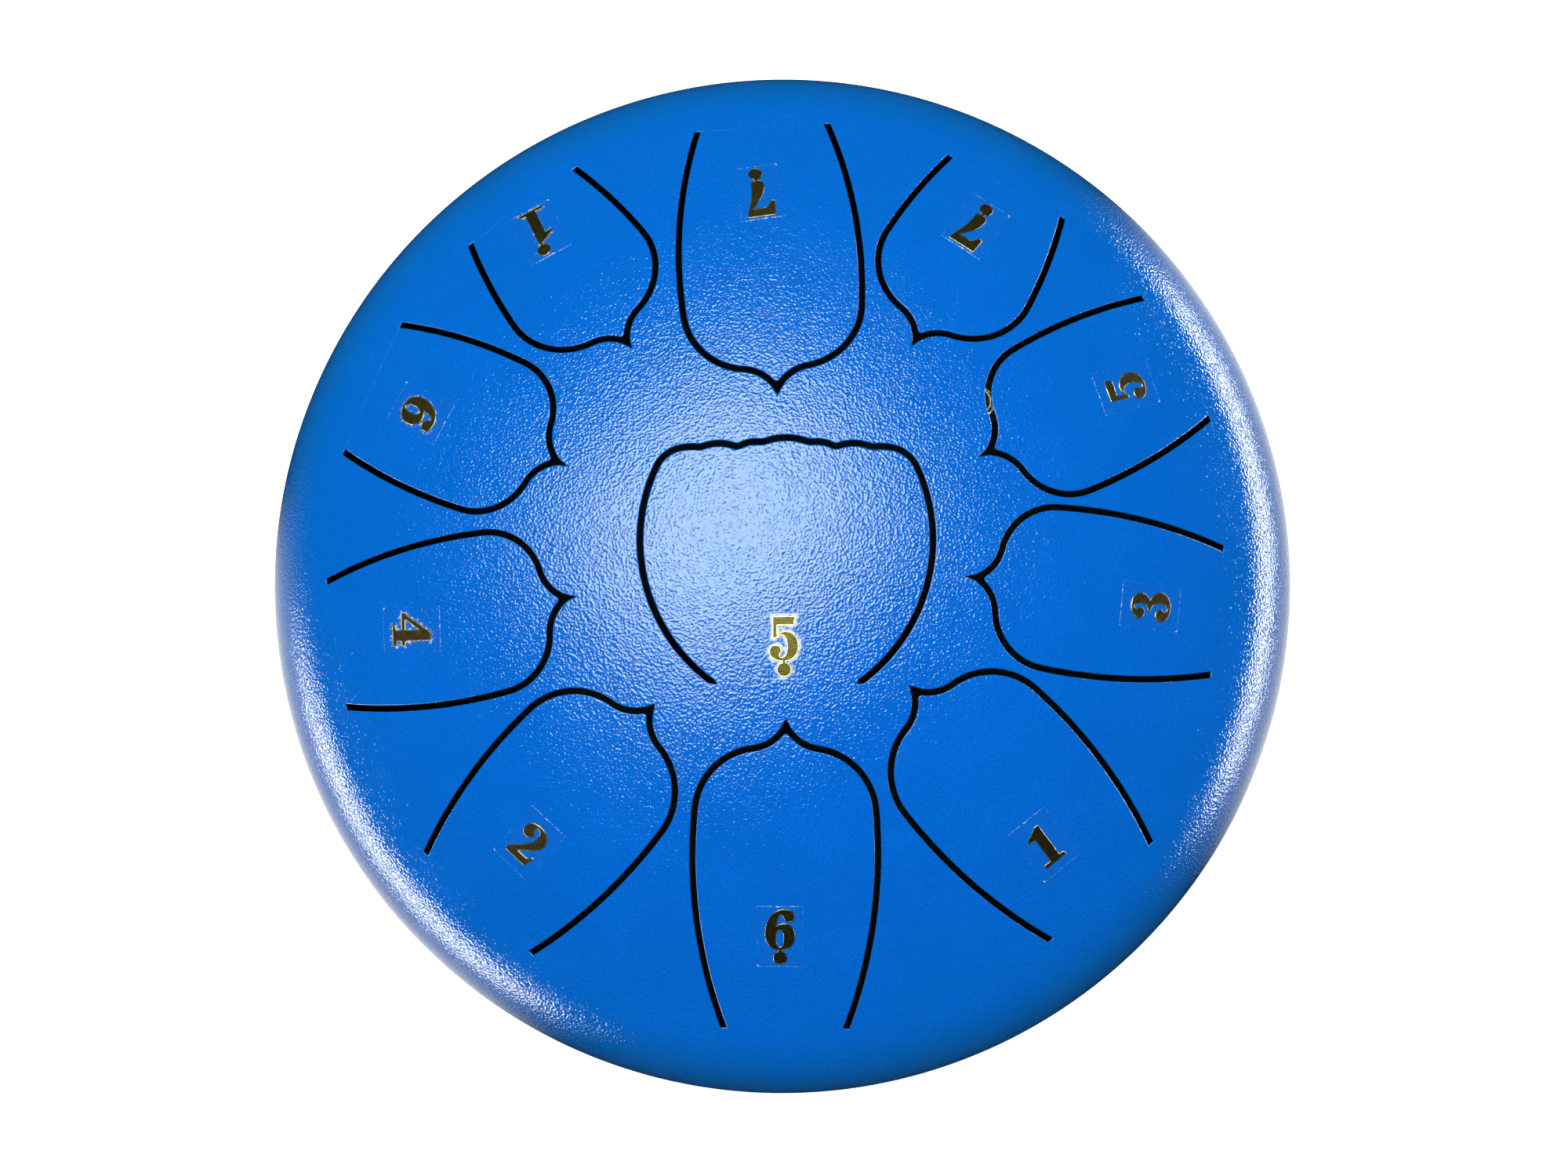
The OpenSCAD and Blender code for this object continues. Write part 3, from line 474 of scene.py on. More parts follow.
class Surface:
    """Triangles gathered part by part, each corner with its point, normal and shade."""

    def __init__(self):
        self.points, self.normals, self.shades = [], [], []

    def add(self, triangles, points, normals, shade=0.0):
        """Adds triangles of the given points."""
        shade = np.broadcast_to(np.asarray(shade, float), len(points))
        self.points.append(points[triangles])
        self.normals.append(normals[triangles])
        self.shades.append(shade[triangles])

    def strip(self, upper, lower, upper_normal, lower_normal, shades=(0.0, 0.0)):
        """Triangles between two closed rows of as many points. With the first row above, they face
        to the right of the way along it."""
        n = len(upper)
        a = np.arange(n)
        b = (a + 1) % n
        triangles = np.concatenate([np.stack([b, a, a + n], -1), np.stack([b, a + n, b + n], -1)])
        self.add(triangles, np.concatenate([upper, lower]),
                 np.concatenate([upper_normal, lower_normal]), np.repeat(shades, n))

    def sheet(self, grid, shade=0.0, close_rows=True):
        """A grid of points (rows, columns, 3) whose columns close on themselves, and whose rows do
        unless told otherwise. Its normals are those of the central differences both ways."""
        rows, columns = grid.shape[:2]
        row = np.arange(rows if close_rows else rows - 1)[:, None]
        column = np.arange(columns)
        below, beside = (row + 1) % rows * columns, (column + 1) % columns
        a, b = (row * columns + column).ravel(), (row * columns + beside).ravel()
        d, e = (below + column).ravel(), (below + beside).ravel()
        normal = np.cross(centred(grid, 0, close_rows), centred(grid, 1, True)).reshape(-1, 3)
        size = np.sqrt((normal ** 2).sum(1))[:, None]
        normal = np.where(size > LEAST_AREA, normal / np.maximum(size, LEAST_AREA), 0)
        shade = np.broadcast_to(np.asarray(shade, float).reshape(-1, 1), (rows, columns)).ravel()
        self.add(np.concatenate([np.stack([a, d, b], -1), np.stack([b, d, e], -1)]),
                 grid.reshape(-1, 3), normal, shade)

    def welded(self):
        """Vertices, triangles, corner normals and vertex shades, with equal corners made one."""
        corners = np.concatenate(self.points).reshape(-1, 3)
        normals = np.concatenate(self.normals).reshape(-1, 3)
        shades = np.concatenate(self.shades).ravel()
        grid = np.round(corners / WELD_CELL).astype(np.int64) + 2 ** (CELL_BITS - 1)
        key = (grid[:, 0] << 2 * CELL_BITS) | (grid[:, 1] << CELL_BITS) | grid[:, 2]
        _, first, index = np.unique(key, return_index=True, return_inverse=True)
        triangles = index.reshape(-1, 3)
        whole = ((triangles[:, 0] != triangles[:, 1]) & (triangles[:, 1] != triangles[:, 2])
                 & (triangles[:, 2] != triangles[:, 0]))
        return corners[first], triangles[whole], normals.reshape(-1, 3, 3)[whole], shades[first]


def centred(grid, axis, closed):
    """Central differences along an axis, one-sided at open ends."""
    if closed:
        return np.roll(grid, -1, axis) - np.roll(grid, 1, axis)
    return np.gradient(grid, axis=axis)


def plate(surface, ground, outlines, rows, spacing, moves=None, rim=None):
    """A plate over a ground whose edge is a profile carried along its outlines.

    The outlines keep the material on their left. A row (inset, height, tilt, shade) holds the
    outline moved into the material by the inset, at that height, with its normal tilted from the
    ground's towards the outside. Rows go from the top face over the edge to the lower face, two
    by two, so that a doubled row makes a crease. The faces are filled with one net. A rim is an
    outline round the others that gets no edge. The faces' points are given back, its own first."""
    moves = moves or [inward(outline) for outline in outlines]
    top, low = rows[0], rows[-1]
    fixed = [] if rim is None else [rim]
    points, triangles = filled(fixed + [o + top[0] * m for o, m in zip(outlines, moves)], spacing)
    above, normal = ground.lift(points, top[1])
    surface.add(triangles, above, normal, top[3])
    under = np.concatenate([o + low[0] * m for o, m in zip(outlines, moves)])
    start = sum(map(len, fixed))
    points = points.copy()
    points[start:start + len(under)] = under
    below, normal = ground.lift(points, low[1])
    surface.add(triangles[:, ::-1], below, -normal, low[3])
    for outline, move in zip(outlines, moves):
        out = -ground.side(inward(outline))
        for upper, lower in zip(rows[:-1:2], rows[1::2]):
            ends = []
            for inset, height, tilt, _ in (upper, lower):
                place, normal = ground.lift(outline + inset * move, height)
                ends.append((place, math.cos(tilt) * normal + math.sin(tilt) * out))
            (first, first_normal), (last, last_normal) = ends
            surface.strip(first, last, first_normal, last_normal, (upper[3], lower[3]))
    return above, below


def doubled(rows):
    """A smooth run of rows as the pairs that plate takes."""
    return [row for pair in zip(rows[:-1], rows[1:]) for row in pair]


def depth(points, shapes):
    """How deep plane points lie in the union of some shapes, and the plane directions outwards.

    A shape is an outline and its holes. The depth is the distance to the nearest side of its
    outlines, less than zero outside, and the deepest shape counts."""
    best = np.full(len(points), -np.inf)
    away = np.zeros((len(points), 2))
    for shape in shapes:
        a = np.concatenate(shape)
        way = np.concatenate([np.roll(o, -1, 0) for o in shape]) - a
        along = ((points[:, None] - a) * way).sum(2) / (way ** 2).sum(1)
        off = a + np.clip(along, 0, 1)[..., None] * way - points[:, None]
        far = np.sqrt((off ** 2).sum(2))
        nearest = far.argmin(1)
        rows = np.arange(len(points))
        sign = np.where(covered(points, [shape]), 1, -1)
        found = sign * far[rows, nearest]
        better = found > best
        best = np.where(better, found, best)
        off = off[rows, nearest] * (sign / np.maximum(far[rows, nearest], TINY))[:, None]
        away = np.where(better[:, None], off, away)
    return best, away


def embossed(surface, ground, shapes, low, profile, spacing):
    """A flat piece over a ground, with a level lower face and a top whose height, tilt and shade
    the profile gives from the depth. Its wall stands on the sides that only one triangle has."""
    outlines = [outline for shape in shapes for outline in shape]
    points, triangles = net(outlines, spacing, lambda p: covered(p, shapes))
    deep, away = depth(points, shapes)
    height, tilt, shade = profile(np.maximum(deep, 0))
    top, up = ground.lift(points, height)
    out = ground.side(away)
    normal = np.cos(tilt)[:, None] * up + np.sin(tilt)[:, None] * out
    under, _ = ground.lift(points, low)
    surface.add(triangles, top, normal, shade)
    surface.add(triangles[:, ::-1], under, -up, 1.0)
    sides = np.concatenate([triangles[:, [0, 1]], triangles[:, [1, 2]], triangles[:, [2, 0]]])
    _, first, count = np.unique(np.sort(sides, 1), axis=0, return_index=True, return_counts=True)
    a, b = sides[first[count == 1]].T
    way = points[b] - points[a]
    out = ground.side(np.stack([way[:, 1], -way[:, 0]], -1))
    start, end, start_under, end_under = np.arange(4 * len(a)).reshape(4, -1)
    walls = np.concatenate([np.stack([end, start, start_under], -1),
                            np.stack([end, start_under, end_under], -1)])
    corners = np.concatenate([top[a], top[b], under[a], under[b]])
    surface.add(walls, corners, np.tile(out, (4, 1)), 1.0)


def round_grid(radius, z, angle, middle=(0, 0)):
    """Points (r cos a, r sin a, z) about an upright line, from radii and heights for each row or
    point and an angle for each column."""
    ring = radius[..., None] * polar(angle) + np.asarray(middle)
    return np.concatenate([ring, np.broadcast_to(z[..., None], ring.shape[:-1] + (1,))], -1)


def revolved(profile, middle, columns):
    """A profile of (radius, z) points carried round an upright line."""
    return round_grid(profile[:, :1], profile[:, 1:], turns(columns), middle)


def make_piece(name, surface, body, material, nodes, shade="shade", ground=None,
               shading=None):
    """The surface as a smooth mesh object that rides on a body and stands for CAD nodes. With a
    ground it gets a UV map of its plan there, from which the shading, if any, gives its shade."""
    points, triangles, normals, shades = surface.welded()
    plan = ground.plan(points) if ground else None
    if shading:
        shades = shading(plan)
    mesh = bpy.data.meshes.new(name)
    mesh.from_pydata(points.tolist(), [], triangles.tolist())
    mesh.polygons.foreach_set("use_smooth", np.ones(len(triangles), bool))
    values = mesh.attributes.new(shade, "FLOAT", "POINT").data
    values.foreach_set("value", shades.astype(np.float32))
    if ground:
        layer = mesh.uv_layers.new(name="sticker")
        corners = (STICKER_UV * plan)[triangles.ravel()]
        layer.uv.foreach_set("vector", corners.astype(np.float32).ravel())
    mesh.normals_split_custom_set(normals.reshape(-1, 3).tolist())
    mesh.materials.append(material)
    piece = bpy.data.objects.new(name, mesh)
    bpy.context.scene.collection.objects.link(piece)
    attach(piece, body)
    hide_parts(*nodes)
    return piece


# ---------------------------------------------------------------------------------------------
# Shader nodes
# ---------------------------------------------------------------------------------------------

NODES_ACROSS, NODE_WIDTH, NODE_HEIGHT = 6, 220, 260  # how a tree's nodes are set out
WHITE = (1, 1, 1, 1)
# Scales of the finishes' fine and coarse grain, in waves per metre.
PAINT_GRAIN, RUBBER_GRAIN, ZINC_GRAIN = (1300.0, 60.0), (2600.0, 320.0), (3200.0, 700.0)
DIMPLES = 1700.0  # dimples of the powder coat per metre
FINE_SHARE = 0.5  # height of its fine grain beside a dimple's
PRIMER_ROUGH = 0.6  # how much rougher the primer is than the paint
PAINT_RELIEF, RUBBER_RELIEF, METAL_RELIEF = 0.00012, 0.00004, 0.00002
STREAKS, STREAK_STRETCH = 6.0, (0.9, 14.0, 1.0)  # the foil's brushing, on the stickers' UV map
CLOUDS, CLOUD_LEVEL, CLOUD_CONTRAST = 9.0, 0.54, 2.6  # patches of air under a film, on that map
SCUFF_HEIGHT = 0.0012  # how far up the feet the scuffs reach


def connect(tree, socket, value):
    """Sets an input socket to a value, or links it to an output socket."""
    if isinstance(value, bpy.types.NodeSocket):
        tree.links.new(value, socket)
    else:
        socket.default_value = value


def put(tree, kind, inputs=None, **settings):
    """A node with its settings, and its inputs set to values or linked to sockets."""
    row, column = divmod(len(tree.nodes), NODES_ACROSS)
    node = tree.nodes.new(kind)
    node.location = (NODE_WIDTH * column, -NODE_HEIGHT * row)
    for key, value in settings.items():
        setattr(node, key, value)
    for key, value in (inputs or {}).items():
        connect(tree, node.inputs[key], value)
    return node


def blend(tree, factor, a, b):
    """The colour that lies a factor of the way from a to b."""
    return put(tree, "ShaderNodeMix", {0: factor, 6: a, 7: b}, data_type="RGBA").outputs[2]


def combine(tree, a, b, operation="ADD"):
    """A math node's result for two values or sockets."""
    return put(tree, "ShaderNodeMath", {0: a, 1: b}, operation=operation).outputs[0]


def opposite(tree, value):
    """What a value lacks of one."""
    return combine(tree, 1.0, value, "SUBTRACT")


def vector_result(tree, operation, output, *inputs):
    """An output of a vector math node."""
    node = put(tree, "ShaderNodeVectorMath", dict(enumerate(inputs)), operation=operation)
    return node.outputs[output]


def spread(tree, value, low, high, to_low=0.0, to_high=1.0):
    """A value taken from one range to another, smoothly and clamped."""
    return put(tree, "ShaderNodeMapRange", {0: value, 1: low, 2: high, 3: to_low, 4: to_high},
               interpolation_type="SMOOTHSTEP").outputs[0]


def rgba(value, share=1.0):
    """A linear colour, darkened by a share, with full alpha."""
    return (*(share * c for c in value), 1.0)


def noise(tree, vector, scale, detail, **inputs):
    """The value of a noise texture."""
    inputs = {"Vector": vector, "Scale": scale, "Detail": detail, **inputs}
    return put(tree, "ShaderNodeTexNoise", inputs).outputs[0]


def attribute(tree, name):
    """A number kept in the mesh."""
    return put(tree, "ShaderNodeAttribute", attribute_name=name).outputs["Fac"]


def bump(tree, height, relief, strength=1.0):
    """The normal that a height gives, with the relief in metres."""
    inputs = {"Strength": strength, "Distance": relief, "Height": height}
    return put(tree, "ShaderNodeBump", inputs).outputs[0]


def begin(name):
    """A new material with its tree and its Principled shader."""
    material = bpy.data.materials.new(name)
    material.use_nodes = True
    tree = material.node_tree
    return material, tree, tree.nodes["Principled BSDF"]


def finish_shader(tree, shader, **sockets):
    """Sets or links the shader's sockets, named with underscores for spaces."""
    for name, value in sockets.items():
        connect(tree, shader.inputs[name.replace("_", " ")], value)


def grain_group():
    """Group: grain of any finish. The height is the fine noise and a share of the coarse one,
    which is also the mask."""
    tree = bpy.data.node_groups.new("surface_grain", "ShaderNodeTree")
    for name, kind in (("Vector", "Vector"), ("Fine", "Float"), ("Coarse", "Float"),
                       ("Coarse Share", "Float")):
        tree.interface.new_socket(name=name, in_out="INPUT", socket_type="NodeSocket" + kind)
    for name in ("Height", "Mask"):
        tree.interface.new_socket(name=name, in_out="OUTPUT", socket_type="NodeSocketFloat")
    vector, fine_scale, coarse_scale, share = list(put(tree, "NodeGroupInput").outputs)[:4]
    fine = noise(tree, vector, fine_scale, 1.6, Roughness=0.45)
    coarse = noise(tree, vector, coarse_scale, 2.0, Roughness=0.5)
    height = combine(tree, fine, combine(tree, coarse, share, "MULTIPLY"))
    put(tree, "NodeGroupOutput", {0: height, 1: coarse})
    return tree


def grain(tree, vector, scales, share):
    """The grain group placed in a material: its height and its mask."""
    group = bpy.data.node_groups.get("surface_grain") or grain_group()
    inputs = {"Vector": vector, "Fine": scales[0], "Coarse": scales[1], "Coarse Share": share}
    node = put(tree, "ShaderNodeGroup", inputs, node_tree=group)
    return node.outputs[0], node.outputs[1]


def object_place(tree):
    """Object coordinates."""
    return put(tree, "ShaderNodeTexCoord").outputs["Object"]


def paint_material(finish):
    """Semi-gloss powder coat with a wrinkled skin, darker in its dimples' hollows as painted shade
    and tinted cyan edge-on as painted sheen, and dark primer where the shade says inside, partly
    painted shade in the slots and the hollow shell.
    """
    material, tree, shader = begin("blue_powder_coat")
    place = object_place(tree)
    fine, patches = grain(tree, place, PAINT_GRAIN, 0.0)
    inputs = {"Vector": place, "Scale": DIMPLES, "Smoothness": 0.7}
    dimples = put(tree, "ShaderNodeTexVoronoi", inputs, feature="SMOOTH_F1").outputs["Distance"]
    height = combine(tree, dimples, combine(tree, fine, FINE_SHARE, "MULTIPLY"))
    # Dark primer where the shade says inside: partly the coat's primer, partly painted shade in the
    # slots and inside the shells.
    within = attribute(tree, "inside")
    tone = blend(tree, spread(tree, patches, 0.3, 0.7), rgba(finish.paint, 0.96),
                 rgba(finish.paint, 1.04))
    # Painted shade: the paint is darker in the hollows of its dimples.
    tone = blend(tree, spread(tree, height, 0.4, 0.9), rgba(finish.paint, 0.88), tone)
    # Painted sheen: a cyan tint where the coat is seen edge-on.
    facing = put(tree, "ShaderNodeLayerWeight", {0: 0.4}).outputs["Facing"]
    tone = blend(tree, facing, tone, rgba(finish.painted_edge_sheen))
    rough = combine(tree, spread(tree, patches, 0.3, 0.7, 0.08, 0.12),
                    combine(tree, within, PRIMER_ROUGH, "MULTIPLY"))
    finish_shader(tree, shader, Base_Color=blend(tree, within, tone, rgba(finish.inside)),
                  Roughness=rough, IOR=1.45, Normal=bump(tree, height, PAINT_RELIEF))
    return material


def foil_material(finish):
    """Gold foil: a face brushed along the sticker's width, kept at a small share of the foil colour
    as painted shade, and a smooth rim in a brighter copy of it as painted highlight.
    """
    material, tree, shader = begin("brushed_foil")
    uv = put(tree, "ShaderNodeUVMap", uv_map="sticker").outputs[0]
    stretched = put(tree, "ShaderNodeMapping", {"Vector": uv, "Scale": STREAK_STRETCH}).outputs[0]
    streaks = noise(tree, stretched, STREAKS, 4.0)
    rim = attribute(tree, "rim")
    # Painted shade and highlight: the face takes only 4 to 15 per cent of the foil colour, while
    # the rim keeps a bright copy.
    face = blend(tree, spread(tree, streaks, 0.35, 0.65), rgba(finish.foil, 0.04),
                 rgba(finish.foil, 0.15))
    finish_shader(tree, shader, Base_Color=blend(tree, rim, face, rgba(finish.painted_rim_highlight)),
                  Metallic=1.0, Roughness=spread(tree, rim, 0.0, 1.0, 0.42, 0.22),
                  Normal=bump(tree, streaks, METAL_RELIEF, 0.5))
    return material


def film_material(finish):
    """Clear film: nearly invisible, with painted glints along its cut edges, and cloudy where air
    has come in under it.
    """
    material, tree, shader = begin("film_and_air")
    uv = put(tree, "ShaderNodeUVMap", uv_map="sticker").outputs[0]
    clouds = noise(tree, uv, CLOUDS, 5.0, Roughness=0.65)
    clouds = combine(tree, clouds, CLOUD_LEVEL, "SUBTRACT")
    patches = combine(tree, clouds, CLOUD_CONTRAST, "MULTIPLY")
    # The shade holds real air near the numeral and painted glints along the film's cut edges, both
    # drawn in the cloud colour.
    milky_and_glint = spread(tree, combine(tree, attribute(tree, "air_and_edge_glint"), patches), 0.35, 0.95)
    tone = blend(tree, milky_and_glint, rgba(finish.film), rgba(finish.cloud))
    finish_shader(tree, shader, Base_Color=tone,
                  Roughness=spread(tree, milky_and_glint, 0.0, 1.0, 0.16, 0.5),
                  Alpha=spread(tree, milky_and_glint, 0.0, 1.0, 0.03, 0.75))
    return material


def rubber_material(finish):
    """Matt moulded rubber with a fine grain and paler scuffs low down."""
    material, tree, shader = begin("moulded_rubber")
    place = object_place(tree)
    height, scuffs = grain(tree, place, RUBBER_GRAIN, 0.6)
    z = put(tree, "ShaderNodeSeparateXYZ", {0: place}).outputs[2]
    low = spread(tree, z, 0.0, SCUFF_HEIGHT, 1.0, 0.0)
    worn = combine(tree, low, spread(tree, scuffs, 0.45, 0.62), "MULTIPLY")
    tone = blend(tree, worn, rgba(finish.rubber), rgba(finish.scuffs))
    finish_shader(tree, shader, Base_Color=tone,
                  Roughness=spread(tree, scuffs, 0.3, 0.7, 0.55, 0.75),
                  Normal=bump(tree, height, RUBBER_RELIEF, 0.6))
    return material


def zinc_material(finish):
    """Zinc-plated steel, faintly spangled and duller in patches."""
    material, tree, shader = begin("bright_zinc")
    height, patches = grain(tree, object_place(tree), ZINC_GRAIN, 0.5)
    tone = blend(tree, spread(tree, patches, 0.35, 0.65), rgba(finish.zinc, 0.8), rgba(finish.zinc))
    finish_shader(tree, shader, Base_Color=tone, Metallic=1.0,
                  Roughness=spread(tree, patches, 0.3, 0.7, 0.22, 0.4),
                  Normal=bump(tree, height, METAL_RELIEF, 0.3))
    return material


def floor_material(finish, radius):
    """Pale floor that keeps the drum's shadow and reads white to the camera. Under a drum of that
    radius the camera sees it near black, a painted shadow that also shows through the slots, and it
    sees none of it from below. In gloss it is near black, a painted shade, but for two pale pools
    of light that the band shows."""
    material, tree, shader = begin("pale_floor")
    place = object_place(tree)
    path = put(tree, "ShaderNodeLightPath").outputs
    camera, glossy = path["Is Camera Ray"], path["Is Glossy Ray"]
    tone = spread(tree, noise(tree, place, 3.0, 2.0), 0.3, 0.7)
    pale = blend(tree, tone, rgba(finish.floor, 0.99), rgba(finish.floor))
    # Painted shadow: the camera sees the floor near black under the drum, and the floor glows there
    # for no ray.
    away = vector_result(tree, "LENGTH", "Value", place)
    outside_painted_shadow = spread(tree, away, *(share * radius for share in FLOOR_PAINTED_SHADOW))
    open_to = combine(tree, outside_painted_shadow, opposite(tree, camera), "MAXIMUM")
    shaded = blend(tree, open_to, rgba(finish.floor, 0.005), pale)
    way = vector_result(tree, "NORMALIZE", "Vector", place)
    pools = []
    for angle, low, high in POOLS:
        along = vector_result(tree, "DOT_PRODUCT", "Value", way, (*polar(math.radians(angle)), 0))
        pools.append(spread(tree, along, low, high))
    pool = combine(tree, combine(tree, *pools), POOL_GLOW, "MULTIPLY")
    # Painted shade in reflections: outside the pools, gloss sees the floor near black.
    dim = combine(tree, glossy, opposite(tree, pool), "MULTIPLY")
    finish_shader(tree, shader, Base_Color=blend(tree, dim, shaded, rgba(finish.floor, 0.02)),
                  Roughness=0.7, Specular_IOR_Level=0.0)
    seen = combine(tree, combine(tree, camera, path["Is Transmission Ray"], "MAXIMUM"), FLOOR_GLOW,
                   "MULTIPLY")
    seen = combine(tree, seen, combine(tree, glossy, pool, "MULTIPLY"))
    glow = put(tree, "ShaderNodeEmission",
               {"Color": WHITE, "Strength": combine(tree, seen, outside_painted_shadow, "MULTIPLY")})
    both = put(tree, "ShaderNodeAddShader", {0: shader.outputs[0], 1: glow.outputs[0]})
    back = put(tree, "ShaderNodeNewGeometry").outputs["Backfacing"]
    below = combine(tree, back, camera, "MULTIPLY")
    none = put(tree, "ShaderNodeBsdfTransparent")
    whole = put(tree, "ShaderNodeMixShader", {0: below, 1: both.outputs[0], 2: none.outputs[0]})
    tree.links.new(whole.outputs[0], tree.nodes["Material Output"].inputs["Surface"])
    return material


MAKERS = {"blue_powder_coat": paint_material, "brushed_foil": foil_material,
          "film_and_air": film_material, "moulded_rubber": rubber_material,
          "bright_zinc": zinc_material}


def material_for(context, name):
    """The named material, made on its first use."""
    return bpy.data.materials.get(name) or MAKERS[name](context.scene.drum_finish)


# ---------------------------------------------------------------------------------------------
# The drum's own lines
# ---------------------------------------------------------------------------------------------


def drum_lines(s):
    """Lines that follow from the sizes: the shoulder's centre lies shoulder_x from the axis, the
    dome's centre dome_z from the weld plane, and the two touch at the radius knee."""
    x = s.diameter / 2 - s.shoulder_radius
    drop = math.sqrt((s.dome_radius - s.shoulder_radius) ** 2 - x * x)
    knee = s.dome_radius * x / (s.dome_radius - s.shoulder_radius)
    dome_z = s.band - drop
    equator = s.floor_gap + (dome_z + s.dome_radius)
    return {"shoulder_x": x, "knee": knee, "dome_z": dome_z, "equator": equator,
            "root": knee - s.root_margin}


def upper_ground(s):
    """The outside of the upper dome, seen from above."""
    lines = drum_lines(s)
    return Ground(s.dome_radius, lines["dome_z"], (0, 0, lines["equator"]), np.eye(3))


def lower_ground(s):
    """The outside of the lower dome, seen from below: half a turn about x."""
    lines = drum_lines(s)
    return Ground(s.dome_radius, lines["dome_z"], (0, 0, lines["equator"]), np.diag([1, -1, -1]))


SLOT_STEP = 0.0005  # length of the slots' sides in the mesh
TIP = math.radians(27)  # angle between a tongue's axis and its hollow curves at the tip
LINE_STEP = 0.00025  # step of the centre slot's middle line before it is softened
BELL_WIDTH, BELL_REACH = 0.0005, 8  # the softening mean's width, and its reach in steps
LEAST_START = 0.0001  # how far from its root the centre slot's second point lies
GUARD = 0.00018  # width of the row of small faces beside a rounded edge
ROOT_GAP = 0.000016  # gap that lets a tongue swing
SEAM_STEP = 0.0015  # length of the sides along a root line
SHELL_STEP, TONGUE_STEP = 0.0026, 0.0024  # steps of the nets that fill the sheet
SHELL_COLUMNS, SHOULDER_ROWS = 720, 26


def half_side(s, reach, kind, offset, end):
    """Half the line of an outer tongue, offset outwards: a bowed side, a round shoulder and a
    hollow curve that touch each other, from the root line x = 0 to the hollow's bearing end."""
    half, head, shoulder = (MM * v for v in kind[:3])
    widest = reach - head
    side_c = np.array([widest, half - s.side_radius])
    ogee_c = reach * np.array([1, 0]) + s.ogee_radius * np.array([math.sin(TIP), math.cos(TIP)])
    head_c = meet(side_c, s.side_radius - shoulder, ogee_c, s.ogee_radius + shoulder)
    start = bearing([-widest, math.sqrt((s.side_radius + offset) ** 2 - widest ** 2)])
    turn, last = bearing(head_c - side_c), bearing(ogee_c - head_c)
    return np.concatenate([
        arc(side_c, s.side_radius + offset, start, turn, SLOT_STEP),
        arc(head_c, shoulder + offset, turn, last, SLOT_STEP)[1:],
        arc(ogee_c, s.ogee_radius - offset, last + math.pi, end, SLOT_STEP)[1:]])


def mirrored(half, middle):
    """A half line, its middle points and the half's mirror image, as one line."""
    return np.concatenate([half, middle, half[::-1] * [1, -1]])


def outer_lines(s, reach, kind):
    """The open lines of a slot's outer edge, up to its point, and of the tongue, round its tip."""
    wide = s.slot / 2
    point = np.array([[reach + MM * kind[3], 0]])
    outer = mirrored(half_side(s, reach, kind, wide, 1.5 * math.pi - TIP), point)
    c = np.array([reach + s.ogee_radius * math.sin(TIP), s.ogee_radius * math.cos(TIP)])
    x = c[0] - math.sqrt((s.ogee_radius + wide + s.tip_round) ** 2 - c[1] ** 2)
    end = bearing([x - c[0], -c[1]]) + 2 * math.pi
    tip = arc((x, 0), s.tip_round, end - math.pi, math.pi - end, 0.3 * SLOT_STEP)[1:-1]
    return outer, mirrored(half_side(s, reach, kind, -wide, end), tip)


def lobe(p, q, rise):
    """An arc from p to q that bulges to the left by a rise."""
    half = np.hypot(*(q - p)) / 2
    radius = (half * half + rise * rise) / (2 * rise)
    way = (q - p) / (2 * half)
    c = (p + q) / 2 - (radius - rise) * np.array([-way[1], way[0]])
    start = bearing(p - c)
    return arc(c, radius, start, start - 2 * math.asin(half / radius), SLOT_STEP)


def centre_lines(s):
    """The open lines of the centre tongue's slot: its middle line, of side, corner and scallops,
    is softened by a bell-shaped mean 0.5 mm wide and moved half a slot out and in."""
    w = s.centre_width / 2
    knots = [np.array([s.centre_length - drop * s.scallop, x * w])
             for x, drop in zip(SCALLOP_X, SCALLOP_DROP)]
    side_c = np.array([s.centre_widest, w - s.centre_side])
    corner_x = knots[0][0] - s.centre_corner
    reach = s.centre_side - s.centre_corner
    corner_c = np.array([corner_x, side_c[1] + math.sqrt(reach ** 2 - (corner_x - side_c[0]) ** 2)])
    start = bearing([-side_c[0], math.sqrt(s.centre_side ** 2 - side_c[0] ** 2)])
    turn = bearing(corner_c - side_c)
    parts = [arc(side_c, s.centre_side, start, turn, SLOT_STEP),
             arc(corner_c, s.centre_corner, turn, 0, SLOT_STEP)]
    parts += [lobe(p, q, rise * s.scallop) for p, q, rise in zip(knots, knots[1:], LOBE_RISE)]
    half = distinct(np.concatenate(parts))
    top = lobe(knots[-1], knots[-1] * [1, -1], TOP_RISE * s.scallop)[1:-1]
    line = mirrored(half, top)
    far = np.concatenate([[0], np.cumsum(np.hypot(*np.diff(line, axis=0).T))])
    even = np.linspace(0, far[-1], int(far[-1] / LINE_STEP))
    line = np.stack([np.interp(even, far, line[:, k]) for k in (0, 1)], -1)
    bell = np.exp(-0.5 * (np.arange(-BELL_REACH, BELL_REACH + 1) * LINE_STEP / BELL_WIDTH) ** 2)
    bell = bell / bell.sum()
    padded = np.concatenate([2 * line[:1] - line[BELL_REACH:0:-1], line,
                             2 * line[-1:] - line[-2:-2 - BELL_REACH:-1]])
    line = np.stack([np.convolve(padded[:, k], bell, "valid") for k in (0, 1)], -1)[::2]
    way = np.gradient(line, axis=0)
    left = np.stack([-way[:, 1], way[:, 0]], -1) / np.hypot(*way.T)[:, None]
    found = []
    for offset in (s.slot / 2, -s.slot / 2):
        moved = line + offset * left
        end = np.arange(len(moved)) % (len(moved) - 1) == 0
        moved = moved[(moved[:, 0] > LEAST_START) | end]
        moved[0, 0] = moved[-1, 0] = 0
        found.append(moved)
    return found


